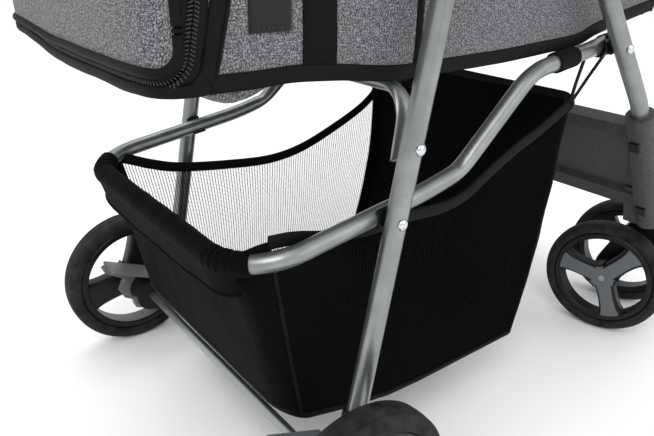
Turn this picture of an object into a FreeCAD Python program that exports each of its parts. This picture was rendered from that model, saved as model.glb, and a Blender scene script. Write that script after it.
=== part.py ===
import FreeCAD, Part
import math
import os
import Sketcher

# Folding pet stroller. Millimetres, +Z up, +Y towards the rear, +X to the stroller's left.
# The origin lies on the ground under the centre of the whole stroller.
# Places along the stroller are given behind the rear axle: a negative number lies in front of it.

V = FreeCAD.Vector
X_AXIS = V(1, 0, 0)
Z_AXIS = V(0, 0, 1)
SIDES = {"left": 1, "right": -1}

doc = FreeCAD.newDocument("PetStroller")


# ---------------------------------------------------------------- driving dimensions
class Size:
    """A length together with the spreadsheet expression that gives it."""

    def __init__(self, value, text):
        self.value = float(value)
        self.text = text

    @staticmethod
    def of(other):
        return other if isinstance(other, Size) else Size(other, f"({float(other):.6g})")

    def __add__(self, other):
        other = Size.of(other)
        return Size(self.value + other.value, f"({self.text} + {other.text})")

    def __sub__(self, other):
        other = Size.of(other)
        return Size(self.value - other.value, f"({self.text} - {other.text})")

    def __mul__(self, other):
        other = Size.of(other)
        return Size(self.value * other.value, f"({self.text} * {other.text})")

    def __truediv__(self, other):
        other = Size.of(other)
        return Size(self.value / other.value, f"({self.text} / {other.text})")

    def __neg__(self):
        return Size(-self.value, f"(-1 * {self.text})")

    def __radd__(self, other):
        return Size.of(other) + self

    def __rsub__(self, other):
        return Size.of(other) - self

    def __rmul__(self, other):
        return Size.of(other) * self


DRIVING_SIZES = {
    "axle_y": 202.5,
    "rear_wheel_radius": 82.0,
    "rear_wheel_width": 27.6,
    "rear_wheel_x": 220.2,
    "front_wheel_radius": 73.0,
    "front_wheel_width": 24.5,
    "axle_radius": 4.8,
    "pin_radius": 3.0,
    "running_gap": 0.06,
    "leg_x": 172.0,
    "leg_radius": 8.5,
    "support_x": 153.0,
    "support_radius": 7.5,
    "tube_wall": 1.2,
    "rear_leg_lean": 12.0,
    "hinge_y": -231.0,
    "hinge_z": 518.0,
    "hinge_radius": 24.0,
    "leg_top_y": -144.5,
    "leg_top_z": 619.0,
    "support_pivot_y": -349.5,
    "support_pivot_z": 378.0,
    "brace_pivot_y": -71.0,
    "brace_pivot_z": 279.0,
    "hoop_pivot_y": -85.0,
    "hoop_pivot_z": 334.0,
    "swivel_x": 153.0,
    "swivel_y": -539.0,
    "caster_trail": 35.0,
    "caster_turn": 76.0,
    "twin_spacing": 91.5,
    "cabin_half_width": 143.0,
    "cloth": 2.0,
    "door_thickness": 3.0,
    "canopy_y": -150.0,
    "canopy_z": 632.0,
    "canopy_radius": 272.0,
    "bow_radius": 3.5,
    "handle_top_y": 182.0,
    "handle_top_z": 983.0,
    "grip_radius": 16.5,
    "cup_radius": 38.0,
    "cup_depth": 62.0,
    "cup_spacing": 170.0,
    "tray_y": 126.0,
    "tray_z": 872.0,
    "basket_half_width": 143.5,
    "boss_radius": 17.0,
}

sheet = doc.addObject("Spreadsheet::Sheet", "Sizes")
for row, (alias, amount) in enumerate(DRIVING_SIZES.items(), start=1):
    sheet.set(f"A{row}", alias)
    sheet.set(f"B{row}", str(amount))
    sheet.setAlias(f"B{row}", alias)
doc.recompute()


def size(alias):
    return Size(sheet.get(alias), f"Sizes.{alias}")


AXLE_Y = size("axle_y")
REAR_RADIUS = size("rear_wheel_radius")
REAR_WIDTH = size("rear_wheel_width")
REAR_X = size("rear_wheel_x")
FRONT_RADIUS = size("front_wheel_radius")
FRONT_WIDTH = size("front_wheel_width")
AXLE_RADIUS = size("axle_radius")
PIN_RADIUS = size("pin_radius")
RUNNING_GAP = size("running_gap")
LEG_X = size("leg_x")
LEG_RADIUS = size("leg_radius")
SUPPORT_X = size("support_x")
SUPPORT_RADIUS = size("support_radius")
TUBE_WALL = size("tube_wall")
HINGE_RADIUS = size("hinge_radius")
SWIVEL_X = size("swivel_x")
CLOTH = size("cloth")
DOOR_THICKNESS = size("door_thickness")
CABIN_X = size("cabin_half_width")
CANOPY_RADIUS = size("canopy_radius")
BOW_RADIUS = size("bow_radius")
GRIP_RADIUS = size("grip_radius")
CUP_RADIUS = size("cup_radius")
CUP_DEPTH = size("cup_depth")
BASKET_X = size("basket_half_width")
BOSS_RADIUS = size("boss_radius")


def behind_axle(y):
    """Row Y of a place given behind the rear axle."""
    return AXLE_Y + y


HINGE = (behind_axle(size("hinge_y")), size("hinge_z"))
LEG_TOP = (behind_axle(size("leg_top_y")), size("leg_top_z"))
SUPPORT_PIVOT = (behind_axle(size("support_pivot_y")), size("support_pivot_z"))
BRACE_PIVOT = (behind_axle(size("brace_pivot_y")), size("brace_pivot_z"))
HOOP_PIVOT = (behind_axle(size("hoop_pivot_y")), size("hoop_pivot_z"))
SWIVEL_Y = behind_axle(size("swivel_y"))
CANOPY_PIVOT = (behind_axle(size("canopy_y")), size("canopy_z"))


# ---------------------------------------------------------------- modelling helpers
def bind(item, prop, amount):
    """Give a property a plain number, or bind it to its spreadsheet expression."""
    if isinstance(amount, Size):
        item.setExpression(prop, amount.text)
    else:
        setattr(item, prop, amount)


def place(item, x=0.0, y=0.0, z=0.0, turn=None):
    """Put an item at a place, bound to the sheet, with an optional rotation."""
    corner = [Size.of(amount) for amount in (x, y, z)]
    rotation = turn or FreeCAD.Rotation()
    item.Placement = FreeCAD.Placement(V(*(c.value for c in corner)), rotation)
    for letter, amount in zip("xyz", corner):
        if "Sizes" in amount.text:
            item.setExpression(f"Placement.Base.{letter}", amount.text)
    return item


def origin_plane(body, role):
    return next(plane for plane in body.Origin.OriginFeatures if plane.Role == role)


def new_sketch(body, name, role="YZ_Plane", offset=None):
    sketch = body.newObject("Sketcher::SketchObject", name)
    sketch.AttachmentSupport = [(origin_plane(body, role), "")]
    sketch.MapMode = "FlatFace"
    if offset:
        sketch.AttachmentOffset = offset
    return sketch


def draw_outline(sketch, points):
    """Draw a closed outline whose corners are each bound to the sheet."""
    count = len(points)
    first = sketch.GeometryCount
    corners = [(Size.of(a), Size.of(b)) for a, b in points]
    flat = [V(a.value, b.value, 0) for a, b in corners]
    for index in range(count):
        sketch.addGeometry(Part.LineSegment(flat[index], flat[(index + 1) % count]))
    for index in range(count):
        following = first + (index + 1) % count
        sketch.addConstraint(Sketcher.Constraint("Coincident", first + index, 2, following, 1))
    for index, (a, b) in enumerate(corners):
        for kind, amount in (("DistanceX", a), ("DistanceY", b)):
            rule = Sketcher.Constraint(kind, -1, 1, first + index, 1, amount.value)
            number = sketch.addConstraint(rule)
            if "Sizes" in amount.text:
                sketch.setExpression(f"Constraints[{number}]", amount.text)


def draw_circle(sketch, radius, centre=(0, 0)):
    a, b = (Size.of(amount) for amount in centre)
    index = sketch.addGeometry(Part.Circle(V(a.value, b.value, 0), Z_AXIS, Size.of(radius).value))
    sketch.addConstraint(Sketcher.Constraint("DistanceX", -1, 1, index, 3, a.value))
    sketch.addConstraint(Sketcher.Constraint("DistanceY", -1, 1, index, 3, b.value))
    number = sketch.addConstraint(Sketcher.Constraint("Radius", index, Size.of(radius).value))
    if isinstance(radius, Size):
        sketch.setExpression(f"Constraints[{number}]", radius.text)


def plate(name, points, thickness, role="YZ_Plane", x=0.0, y=0.0, z=0.0, turn=None, holes=()):
    """A flat piece: an outline with round holes, padded square to its plane."""
    body = doc.addObject("PartDesign::Body", name)
    sketch = new_sketch(body, name + "_outline", role)
    draw_outline(sketch, points)
    for centre, radius in holes:
        draw_circle(sketch, radius, centre)
    pad = body.newObject("PartDesign::Pad", name + "_pad")
    pad.Profile = sketch
    bind(pad, "Length", thickness)
    sketch.Visibility = False
    return place(body, x, y, z, turn)


def turned(name, points, x=0.0, y=0.0, z=0.0, turn=None):
    """A round piece: a half section in its XZ plane, turned about its own Z axis."""
    body = doc.addObject("PartDesign::Body", name)
    sketch = new_sketch(body, name + "_section", "XZ_Plane")
    draw_outline(sketch, points)
    revolution = body.newObject("PartDesign::Revolution", name + "_turn")
    revolution.Profile = sketch
    revolution.ReferenceAxis = (sketch, ["V_Axis"])
    revolution.Angle = 360.0
    sketch.Visibility = False
    return place(body, x, y, z, turn)


def side_curve(points, bends):
    """Straight runs in the side plane joined by tangent arcs, as sketch geometry."""
    flat = [V(Size.of(a).value, Size.of(b).value, 0) for a, b in points]
    return rounded_edges(flat, bends)


def rounded_edges(corners, bends):
    """Line segments between the corners, with an arc of the given radius at each inner corner."""
    pieces = []
    start = corners[0]
    for index, radius in enumerate(bends, start=1):
        corner = corners[index]
        back = (corners[index - 1] - corner).normalize()
        ahead = (corners[index + 1] - corner).normalize()
        half = back.getAngle(ahead) / 2
        reach = radius / math.tan(half)
        inward = (back + ahead).normalize()
        begin = corner + back * reach
        end = corner + ahead * reach
        middle = corner + inward * (radius / math.sin(half) - radius)
        pieces.append(Part.LineSegment(start, begin))
        pieces.append(Part.Arc(begin, middle, end))
        start = end
    pieces.append(Part.LineSegment(start, corners[-1]))
    return pieces


def side_tube(name, points, bends, x, radius, wall):
    """A bent tube that lies in one side plane, swept along its centre line."""
    body = doc.addObject("PartDesign::Body", name)
    spine = new_sketch(body, name + "_route")
    for piece in side_curve(points, bends):
        spine.addGeometry(piece)
    start = V(Size.of(points[0][0]).value, Size.of(points[0][1]).value, 0)
    after = V(Size.of(points[1][0]).value, Size.of(points[1][1]).value, 0)
    facing = FreeCAD.Placement(start, FreeCAD.Rotation(Z_AXIS, after - start))
    section = new_sketch(body, name + "_section", offset=facing)
    draw_circle(section, radius)
    if wall is not None:
        draw_circle(section, radius - wall)
    pipe = body.newObject("PartDesign::AdditivePipe", name + "_pipe")
    pipe.Profile = section
    pipe.Spine = (spine, [])
    spine.Visibility = False
    section.Visibility = False
    return place(body, x)


def swept(path, radius):
    wire = Part.Wire([piece.toShape() for piece in path])
    start = path[0].StartPoint
    tangent = path[0].EndPoint - start
    ring = Part.Wire([Part.makeCircle(radius, start, tangent)])
    return wire.makePipeShell([ring], True, False)


def space_tube(name, corners, bends, radius, wall=None):
    """A tube bent in more than one plane: the outer sweep less the inner one."""
    path = rounded_edges(corners, bends)
    shape = swept(path, radius)
    if wall:
        shape = shape.cut(swept(path, radius - wall))
    item = doc.addObject("Part::Feature", name)
    item.Shape = shape
    return item


def rod(name, radius, length, x=0.0, y=0.0, z=0.0, direction=Z_AXIS):
    """A plain cylinder from a place, along a direction."""
    item = doc.addObject("Part::Cylinder", name)
    bind(item, "Radius", radius)
    bind(item, "Height", length)
    return place(item, x, y, z, FreeCAD.Rotation(Z_AXIS, direction))


def block(name, sizes, x=0.0, y=0.0, z=0.0, turn=None):
    item = doc.addObject("Part::Box", name)
    for prop, amount in zip(("Length", "Width", "Height"), sizes):
        bind(item, prop, amount)
    return place(item, x, y, z, turn)


def fuse(name, items):
    item = doc.addObject("Part::MultiFuse", name)
    item.Shapes = items
    item.Refine = False
    return item


def cut(name, base, tool):
    item = doc.addObject("Part::Cut", name)
    item.Base = base
    item.Tool = tool
    return item


def group(name, items):
    """Identical small pieces that share one node as separate solids."""
    item = doc.addObject("Part::Compound", name)
    item.Links = items
    return item


nodes = []


def keep(node, item):
    """Name a finished sub-part and put it on the list that is written out."""
    item.Label = node
    nodes.append(item)
    return item


def toward(start, end):
    """Unit direction in the side plane from one (y, z) place to another."""
    step = V(0, Size.of(end[0] - start[0]).value, Size.of(end[1] - start[1]).value)
    return step.normalize()


def along(start, direction, distance):
    """The (y, z) place a distance from a start, along a side plane direction."""
    return (start[0] + direction.y * distance, start[1] + direction.z * distance)


def cross_hole(name, centre, radius):
    """A hole right across the stroller at a (y, z) place, for the pins of a pivot."""
    return rod(name, radius, 2 * LEG_X + 80, -LEG_X - 40, centre[0], centre[1], X_AXIS)


def mirrored_x(side, inner, length):
    """Lowest X of a piece that lies outwards of an inner face on one side."""
    return inner if side > 0 else -inner - length


# ---------------------------------------------------------------- front frame
HANDLE_LINE = toward(HINGE, LEG_TOP)
COLUMN_TOP = (behind_axle(-409.5), Size.of(305.0))
COLUMN_FOOT = (behind_axle(-483.0), Size.of(166.0))
COLUMN_LINE = toward(COLUMN_TOP, COLUMN_FOOT)
COLUMN_RADIUS = 14.5
FIT_GAP = 0.05
LEG_START = 30.0
LEG_IN_SOCKET = 62.0
LEG_BEND_REACH = 264.62

pivot_hole = cross_hole("support_pivot_hole", SUPPORT_PIVOT, PIN_RADIUS + RUNNING_GAP)
for side_name, side in SIDES.items():
    leg_points = [
        along(HINGE, HANDLE_LINE, -LEG_START),
        along(HINGE, HANDLE_LINE, -LEG_BEND_REACH),
        along(COLUMN_TOP, COLUMN_LINE, LEG_IN_SOCKET),
    ]
    tube = side_tube(f"front_tube_{side_name}", leg_points, [90.0], side * LEG_X, LEG_RADIUS, TUBE_WALL)
    keep(f"front_leg_{side_name}", cut(f"front_leg_cut_{side_name}", tube, pivot_hole))

# The cross panel between the two columns: a sloping moulded beam with a hem at top and bottom.
PANEL_X = 162.0
panel_section = [
    (behind_axle(-427.0), 296.0),
    (behind_axle(-411.0), 290.0),
    (behind_axle(-416.0), 276.0),
    (behind_axle(-421.5), 276.0),
    (behind_axle(-466.0), 204.0),
    (behind_axle(-462.0), 198.0),
    (behind_axle(-471.0), 181.0),
    (behind_axle(-488.0), 188.0),
    (behind_axle(-484.0), 203.0),
    (behind_axle(-430.0), 280.0),
]
panel = plate("panel_beam", panel_section, 2 * PANEL_X, x=-PANEL_X)
foot_section = [
    (behind_axle(-462.0), 206.0),
    (behind_axle(-502.0), 194.0),
    (behind_axle(-543.0), 186.0),
    (behind_axle(-543.0), 158.0),
    (behind_axle(-500.0), 153.0),
    (behind_axle(-474.0), 160.0),
]
BOSS_BOTTOM = 152.0
BOSS_TOP = 192.0
STEM_RADIUS = 5.0
bridge_parts = [panel]
bridge_bores = []
for side_name, side in SIDES.items():
    column_length = 157.0
    bridge_parts += [
        rod(
            f"column_{side_name}", COLUMN_RADIUS, column_length,
            side * LEG_X, COLUMN_TOP[0], COLUMN_TOP[1], COLUMN_LINE,
        ),
        plate(f"column_foot_{side_name}", foot_section, 27.0, x=mirrored_x(side, 145.0, 27.0)),
        rod(f"swivel_boss_{side_name}", BOSS_RADIUS, BOSS_TOP - BOSS_BOTTOM,
            side * SWIVEL_X, SWIVEL_Y, BOSS_BOTTOM),
    ]
    start = along(COLUMN_TOP, COLUMN_LINE, -20)
    bridge_bores += [
        rod(f"leg_socket_{side_name}", LEG_RADIUS + FIT_GAP, LEG_IN_SOCKET + 20.1,
            side * LEG_X, start[0], start[1], COLUMN_LINE),
        rod(f"stem_bore_{side_name}", STEM_RADIUS + RUNNING_GAP, 36.0,
            side * SWIVEL_X, SWIVEL_Y, BOSS_BOTTOM - 1),
    ]
bridge_solid = fuse("bridge_solid", bridge_parts)
keep("front_bridge", cut("bridge_cut", bridge_solid, fuse("bridge_bores", bridge_bores)))

# Square caps over the screws that hold each leg in its column, on the rear face of the column.
CAP_SIZE = 11.0
CAP_THICKNESS = 2.4
column_back = V(0, -COLUMN_LINE.z, COLUMN_LINE.y)
caps = []
for side_name, side in SIDES.items():
    for number, distance in enumerate((32.0, 128.0)):
        spot = along(COLUMN_TOP, COLUMN_LINE, distance)
        spot = along(spot, column_back, COLUMN_RADIUS + 0.05)
        turn = FreeCAD.Rotation(V(1, 0, 0), COLUMN_LINE, column_back, "ZXY")
        corner = turn.multVec(V(-CAP_SIZE / 2, -CAP_SIZE / 2, 0))
        caps.append(block(
            f"cap_{side_name}_{number}", (CAP_SIZE, CAP_SIZE, CAP_THICKNESS),
            side * LEG_X + corner.x, spot[0] + corner.y, spot[1] + corner.z, turn,
        ))
keep("bridge_caps", group("bridge_caps_group", caps))

# ---------------------------------------------------------------- main fold hinge
HALF_THICKNESS = 7.7
SLEEVE_RADIUS = 10.9
SLEEVE_START = 27.5
SLEEVE_LENGTH = 34.0
hinge_hole = cross_hole("hinge_hole", HINGE, PIN_RADIUS + RUNNING_GAP)


def hinge_half(prefix, direction, inner_x):
    """Both sides' halves of the fold hinge: a disc beside a sleeve that grips its tube."""
    halves = []
    for side_name, side in SIDES.items():
        disc = rod(f"{prefix}_disc_{side_name}", HINGE_RADIUS, HALF_THICKNESS,
                   mirrored_x(side, inner_x, HALF_THICKNESS), HINGE[0], HINGE[1], X_AXIS)
        start = along(HINGE, direction, SLEEVE_START)
        sleeve = rod(f"{prefix}_sleeve_{side_name}", SLEEVE_RADIUS, SLEEVE_LENGTH,
                     side * LEG_X, start[0], start[1], direction)
        outline = [(0, -9), (44, -9), (44, 9), (0, 9)]
        turn = FreeCAD.Rotation(X_AXIS, math.degrees(math.atan2(direction.z, direction.y)))
        web = plate(f"{prefix}_web_{side_name}", outline, HALF_THICKNESS,
                    x=mirrored_x(side, inner_x, HALF_THICKNESS), y=HINGE[0], z=HINGE[1], turn=turn)
        bore_start = along(HINGE, direction, LEG_START - 0.1)
        bore = rod(f"{prefix}_bore_{side_name}", LEG_RADIUS + FIT_GAP, 60.0,
                   side * LEG_X, bore_start[0], bore_start[1], direction)
        whole = fuse(f"{prefix}_whole_{side_name}", [disc, sleeve, web])
        bored = cut(f"{prefix}_bored_{side_name}", whole, bore)
        halves.append(cut(f"{prefix}_half_{side_name}", bored, hinge_hole))
    return halves


OUTER_HALF_X = LEG_X + 0.3
INNER_HALF_X = LEG_X - 0.3 - HALF_THICKNESS
FOLD_LINE_DOWN = V(0, -HANDLE_LINE.y, -HANDLE_LINE.z)
keep("hinge_lower", group("hinge_lower_pair", hinge_half("lower", FOLD_LINE_DOWN, OUTER_HALF_X)))
LATCH_RADIUS = 7.0
LATCH_RECESS = 5.0
upper_halves = []
for (side_name, side), half in zip(SIDES.items(), hinge_half("upper", HANDLE_LINE, INNER_HALF_X)):
    recess = rod(f"latch_recess_{side_name}", LATCH_RADIUS + FIT_GAP, LATCH_RECESS + 10,
                 mirrored_x(side, INNER_HALF_X - 10, LATCH_RECESS + 10), HINGE[0], HINGE[1], X_AXIS)
    upper_halves.append(cut(f"upper_recessed_{side_name}", half, recess))
keep("hinge_upper", group("hinge_upper_pair", upper_halves))


def rivets(prefix, centre, inner_x, outer_x, head_radius=5.5, head=2.4):
    """A pair of headed pins, one per side, from an inner X to an outer X."""
    pair = []
    for side_name, side in SIDES.items():
        span = outer_x - inner_x
        shank = rod(f"{prefix}_shank_{side_name}", PIN_RADIUS, span,
                    mirrored_x(side, inner_x, span), centre[0], centre[1], X_AXIS)
        outer_head = rod(f"{prefix}_head_{side_name}", head_radius, head,
                         mirrored_x(side, outer_x - 0.01, head), centre[0], centre[1], X_AXIS)
        pair.append(fuse(f"{prefix}_{side_name}", [shank, outer_head]))
    return pair


HEAD_GAP = 0.06
HINGE_OUTER_X = LEG_X + 0.3 + HALF_THICKNESS + HEAD_GAP
HINGE_PIN_INNER_X = INNER_HALF_X + LATCH_RECESS + 0.3
keep("hinge_pins", group("hinge_pin_pair", rivets(
    "hinge_pin", HINGE, HINGE_PIN_INNER_X, HINGE_OUTER_X, 8.0, 3.0)))
LEG_OUTER_X = LEG_X + LEG_RADIUS + 0.2
support_inner_x = SUPPORT_X - SUPPORT_RADIUS - 1.0
keep("front_leg_rivets", group(
    "front_rivet_pair", rivets("front_rivet", SUPPORT_PIVOT, support_inner_x, LEG_OUTER_X)))

# Sprung latch buttons in the recess of the upper hinge half's inner face.
LATCH_LENGTH = 6.5
for side_name, side in SIDES.items():
    button = rod(f"latch_button_{side_name}", LATCH_RADIUS, LATCH_LENGTH,
                 mirrored_x(side, INNER_HALF_X + 1 - LATCH_LENGTH, LATCH_LENGTH), HINGE[0], HINGE[1], X_AXIS)
    keep(f"hinge_latch_{side_name}", button)

# ---------------------------------------------------------------- handle
leg_top_hole = cross_hole("leg_top_hole", LEG_TOP, PIN_RADIUS + RUNNING_GAP)
HANDLE_KINK = along(LEG_TOP, HANDLE_LINE, 411.0)
HANDLE_TOP = (behind_axle(size("handle_top_y")), size("handle_top_z"))


def arm_point(side, spot):
    return V(side * LEG_X.value, spot[0].value, spot[1].value)


handle_start = along(HINGE, HANDLE_LINE, LEG_START)
handle_corners = [
    arm_point(-1, handle_start),
    arm_point(-1, HANDLE_KINK),
    arm_point(-1, HANDLE_TOP),
    arm_point(1, HANDLE_TOP),
    arm_point(1, HANDLE_KINK),
    arm_point(1, handle_start),
]
handle_bends = [120.0, 52.0, 52.0, 120.0]
handle_bar = space_tube("handle_bar", handle_corners, handle_bends, LEG_RADIUS.value, TUBE_WALL.value)
keep("handle_tube", cut("handle_drilled", handle_bar, leg_top_hole))

GRIP_LENGTH = 220.0
grip_foam = rod("grip_foam", GRIP_RADIUS, GRIP_LENGTH,
                -GRIP_LENGTH / 2, HANDLE_TOP[0], HANDLE_TOP[1], X_AXIS)
grip_bore = rod("grip_bore", LEG_RADIUS + FIT_GAP, GRIP_LENGTH + 10,
                -GRIP_LENGTH / 2 - 5, HANDLE_TOP[0], HANDLE_TOP[1], X_AXIS)
keep("handle_grip", cut("grip_tube", grip_foam, grip_bore))

# Cup tray between the handle arms: a shallow deck, two cup wells and a clamp round each arm.
TRAY_Y = behind_axle(size("tray_y"))
TRAY_Z = size("tray_z")
TRAY_DECK = 4.0
CUP_WALL = 2.5
CUP_FLOOR = 3.0
TRAY_HALF_X = 150.0
TRAY_HALF_Y = 47.0
CLAMP_HEIGHT = 24.0
tray_outline = [
    (-TRAY_HALF_X, TRAY_Y - TRAY_HALF_Y + 16),
    (-TRAY_HALF_X + 16, TRAY_Y - TRAY_HALF_Y),
    (TRAY_HALF_X - 16, TRAY_Y - TRAY_HALF_Y),
    (TRAY_HALF_X, TRAY_Y - TRAY_HALF_Y + 16),
    (TRAY_HALF_X, TRAY_Y + TRAY_HALF_Y - 16),
    (TRAY_HALF_X - 16, TRAY_Y + TRAY_HALF_Y),
    (-TRAY_HALF_X + 16, TRAY_Y + TRAY_HALF_Y),
    (-TRAY_HALF_X, TRAY_Y + TRAY_HALF_Y - 16),
]
tray_solids = [plate("tray_deck", tray_outline, TRAY_DECK, "XY_Plane", z=TRAY_Z - TRAY_DECK)]
tray_bores = []
arm_at_tray = along(LEG_TOP, HANDLE_LINE, (TRAY_Z - TRAY_DECK / 2 - LEG_TOP[1]) / HANDLE_LINE.z)
for side_name, side in SIDES.items():
    cup_x = side * size("cup_spacing") / 2
    tray_solids.append(rod(f"cup_wall_{side_name}", CUP_RADIUS + CUP_WALL, CUP_DEPTH + CUP_FLOOR,
                           cup_x, TRAY_Y, TRAY_Z - CUP_DEPTH - CUP_FLOOR))
    tray_bores.append(rod(f"cup_bore_{side_name}", CUP_RADIUS, CUP_DEPTH + 1,
                          cup_x, TRAY_Y, TRAY_Z - CUP_DEPTH))
    clamp_start = along(arm_at_tray, HANDLE_LINE, -CLAMP_HEIGHT / 2)
    tray_solids.append(rod(f"tray_clamp_{side_name}", LEG_RADIUS + 3, CLAMP_HEIGHT,
                           side * LEG_X, clamp_start[0], clamp_start[1], HANDLE_LINE))
    arm_length = 26.0
    tray_solids.append(block(f"tray_arm_{side_name}", (arm_length, 40.0, TRAY_DECK),
                             mirrored_x(side, TRAY_HALF_X - 8, arm_length), TRAY_Y - 44, TRAY_Z - TRAY_DECK))
    bore_start = along(clamp_start, HANDLE_LINE, -20)
    tray_bores.append(rod(f"clamp_bore_{side_name}", LEG_RADIUS + FIT_GAP, CLAMP_HEIGHT + 40,
                          side * LEG_X, bore_start[0], bore_start[1], HANDLE_LINE))
keep("parent_tray", cut("tray", fuse("tray_solid", tray_solids), fuse("tray_bores", tray_bores)))

# ---------------------------------------------------------------- rear frame
lean = math.radians(size("rear_leg_lean").value)
REAR_LEG_LINE = V(0, math.sin(lean), -math.cos(lean))
REAR_LEG_START = 31.0
REAR_LEG_LENGTH = 500.0
leg_holes = fuse("rear_leg_holes", [
    cross_hole("brace_hole", BRACE_PIVOT, PIN_RADIUS + FIT_GAP),
    cross_hole("hoop_hole", HOOP_PIVOT, PIN_RADIUS + FIT_GAP),
])
for side_name, side in SIDES.items():
    start = along(LEG_TOP, REAR_LEG_LINE, REAR_LEG_START)
    outer = rod(f"rear_tube_{side_name}", LEG_RADIUS, REAR_LEG_LENGTH,
                side * LEG_X, start[0], start[1], REAR_LEG_LINE)
    inner = rod(f"rear_tube_core_{side_name}", LEG_RADIUS - TUBE_WALL, REAR_LEG_LENGTH,
                side * LEG_X, start[0], start[1], REAR_LEG_LINE)
    hollow = cut(f"rear_tube_hollow_{side_name}", outer, inner)
    keep(f"rear_leg_{side_name}", cut(f"rear_leg_drilled_{side_name}", hollow, leg_holes))

# Plastic yokes at the leg tops: two ears that straddle the handle arm, and a socket for the leg.
EAR_GAP = 0.5
EAR = 3.2
EAR_INNER_X = LEG_X - LEG_RADIUS - EAR_GAP - EAR
EAR_OUTER_X = LEG_X + LEG_RADIUS + EAR_GAP
bracket_pieces = []
for side_name, side in SIDES.items():
    turn = FreeCAD.Rotation(X_AXIS, math.degrees(math.atan2(REAR_LEG_LINE.z, REAR_LEG_LINE.y)))
    ear_outline = [(-4, -10), (0, -11), (56, -11), (56, 11), (0, 11), (-4, 10), (-8, 6), (-8, -6)]
    ears = []
    for number, ear_x in enumerate((EAR_INNER_X, EAR_OUTER_X)):
        ears.append(plate(f"ear_{side_name}_{number}", ear_outline, EAR, x=mirrored_x(side, ear_x, EAR),
                          y=LEG_TOP[0], z=LEG_TOP[1], turn=turn))
    width = 2 * (LEG_RADIUS + EAR_GAP) + 0.2
    web_outline = [(REAR_LEG_START - 4, -11), (56, -11), (56, 11), (REAR_LEG_START - 4, 11)]
    web = plate(f"yoke_web_{side_name}", web_outline, width,
                x=mirrored_x(side, LEG_X - LEG_RADIUS - EAR_GAP - 0.1, width),
                y=LEG_TOP[0], z=LEG_TOP[1], turn=turn)
    bore_start = along(LEG_TOP, REAR_LEG_LINE, REAR_LEG_START - 0.1)
    bore = rod(f"yoke_bore_{side_name}", LEG_RADIUS + FIT_GAP, 60.0,
               side * LEG_X, bore_start[0], bore_start[1], REAR_LEG_LINE)
    yoke = cut(f"yoke_bored_{side_name}", fuse(f"yoke_{side_name}", ears + [web]), bore)
    bracket_pieces.append(cut(f"yoke_drilled_{side_name}", yoke, leg_top_hole))
keep("leg_brackets", group("leg_bracket_pair", bracket_pieces))

top_pins = rivets("leg_top_pin", LEG_TOP, EAR_INNER_X - 0.5, EAR_OUTER_X + EAR + HEAD_GAP)
brace_pins = rivets("brace_pin", BRACE_PIVOT, LEG_X - LEG_RADIUS - 0.3, LEG_OUTER_X)
hoop_pins = rivets("hoop_pin", HOOP_PIVOT, LEG_X - LEG_RADIUS - 5.0, LEG_OUTER_X)
keep("rear_frame_rivets", group("rear_rivets", top_pins + brace_pins + hoop_pins))

# Cross hoop that carries the cabin floor: flat straps up the inside of each leg, a tube across.
HOOP_RADIUS = 5.0
HOOP_END_X = 157.8
HOOP_TOP_Z = 372.0
hoop_line_y = HOOP_PIVOT[0].value
hoop_lift = (HOOP_TOP_Z - HOOP_PIVOT[1].value) * REAR_LEG_LINE.y / REAR_LEG_LINE.z
hoop_top_y = hoop_line_y + hoop_lift
hoop_corners = [
    V(-HOOP_END_X, hoop_line_y, HOOP_PIVOT[1].value - 8),
    V(-HOOP_END_X, hoop_top_y, HOOP_TOP_Z),
    V(HOOP_END_X, hoop_top_y, HOOP_TOP_Z),
    V(HOOP_END_X, hoop_line_y, HOOP_PIVOT[1].value - 8),
]
hoop_tube = space_tube("hoop_tube", hoop_corners, [24.0, 24.0], HOOP_RADIUS, 1.0)
hoop_pin_hole = cross_hole("hoop_pin_hole", HOOP_PIVOT, PIN_RADIUS + FIT_GAP)
keep("floor_hoop", cut("hoop_drilled", hoop_tube, hoop_pin_hole))

AXLE_LENGTH = 2 * REAR_X + REAR_WIDTH + 4
axle = rod("axle_rod", AXLE_RADIUS, AXLE_LENGTH, -AXLE_LENGTH / 2, AXLE_Y, REAR_RADIUS, X_AXIS)
keep("rear_axle", axle)

# Brake housings: a round boss on the axle and a socket that takes the foot of the rear leg.
BRAKE_RADIUS = 19.0
HOUSING_INNER_X = LEG_X - 13.0
HOUSING_WIDTH = 24.0
housings = []
for side_name, side in SIDES.items():
    boss = rod(f"brake_boss_{side_name}", BRAKE_RADIUS, HOUSING_WIDTH,
               mirrored_x(side, HOUSING_INNER_X, HOUSING_WIDTH), AXLE_Y, REAR_RADIUS, X_AXIS)
    foot = along(LEG_TOP, REAR_LEG_LINE, REAR_LEG_START + REAR_LEG_LENGTH)
    socket_start = along(foot, REAR_LEG_LINE, -18)
    socket = rod(f"leg_foot_socket_{side_name}", LEG_RADIUS + 3.2, 24.0,
                 side * LEG_X, socket_start[0], socket_start[1], REAR_LEG_LINE)
    joint_outline = [
        (AXLE_Y - 42, 96), (AXLE_Y - 10, 97), (AXLE_Y + 6, 88),
        (AXLE_Y, 66), (AXLE_Y - 22, 70), (AXLE_Y - 42, 82),
    ]
    joint = plate(f"leg_foot_block_{side_name}", joint_outline, 22.0, x=mirrored_x(side, LEG_X - 11, 22.0))
    bore_start = along(foot, REAR_LEG_LINE, -80)
    bore = rod(f"leg_foot_bore_{side_name}", LEG_RADIUS + FIT_GAP, 80.1,
               side * LEG_X, bore_start[0], bore_start[1], REAR_LEG_LINE)
    solid = fuse(f"housing_solid_{side_name}", [boss, socket, joint])
    housings.append(cut(f"housing_bored_{side_name}", solid, bore))
axle_hole = rod("axle_hole", AXLE_RADIUS + RUNNING_GAP, AXLE_LENGTH + 20,
                -AXLE_LENGTH / 2 - 10, AXLE_Y, REAR_RADIUS, X_AXIS)
keep("brake_housings", group("housing_pair", [
    cut(f"housing_{number}", housing, axle_hole) for number, housing in enumerate(housings)]))

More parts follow.
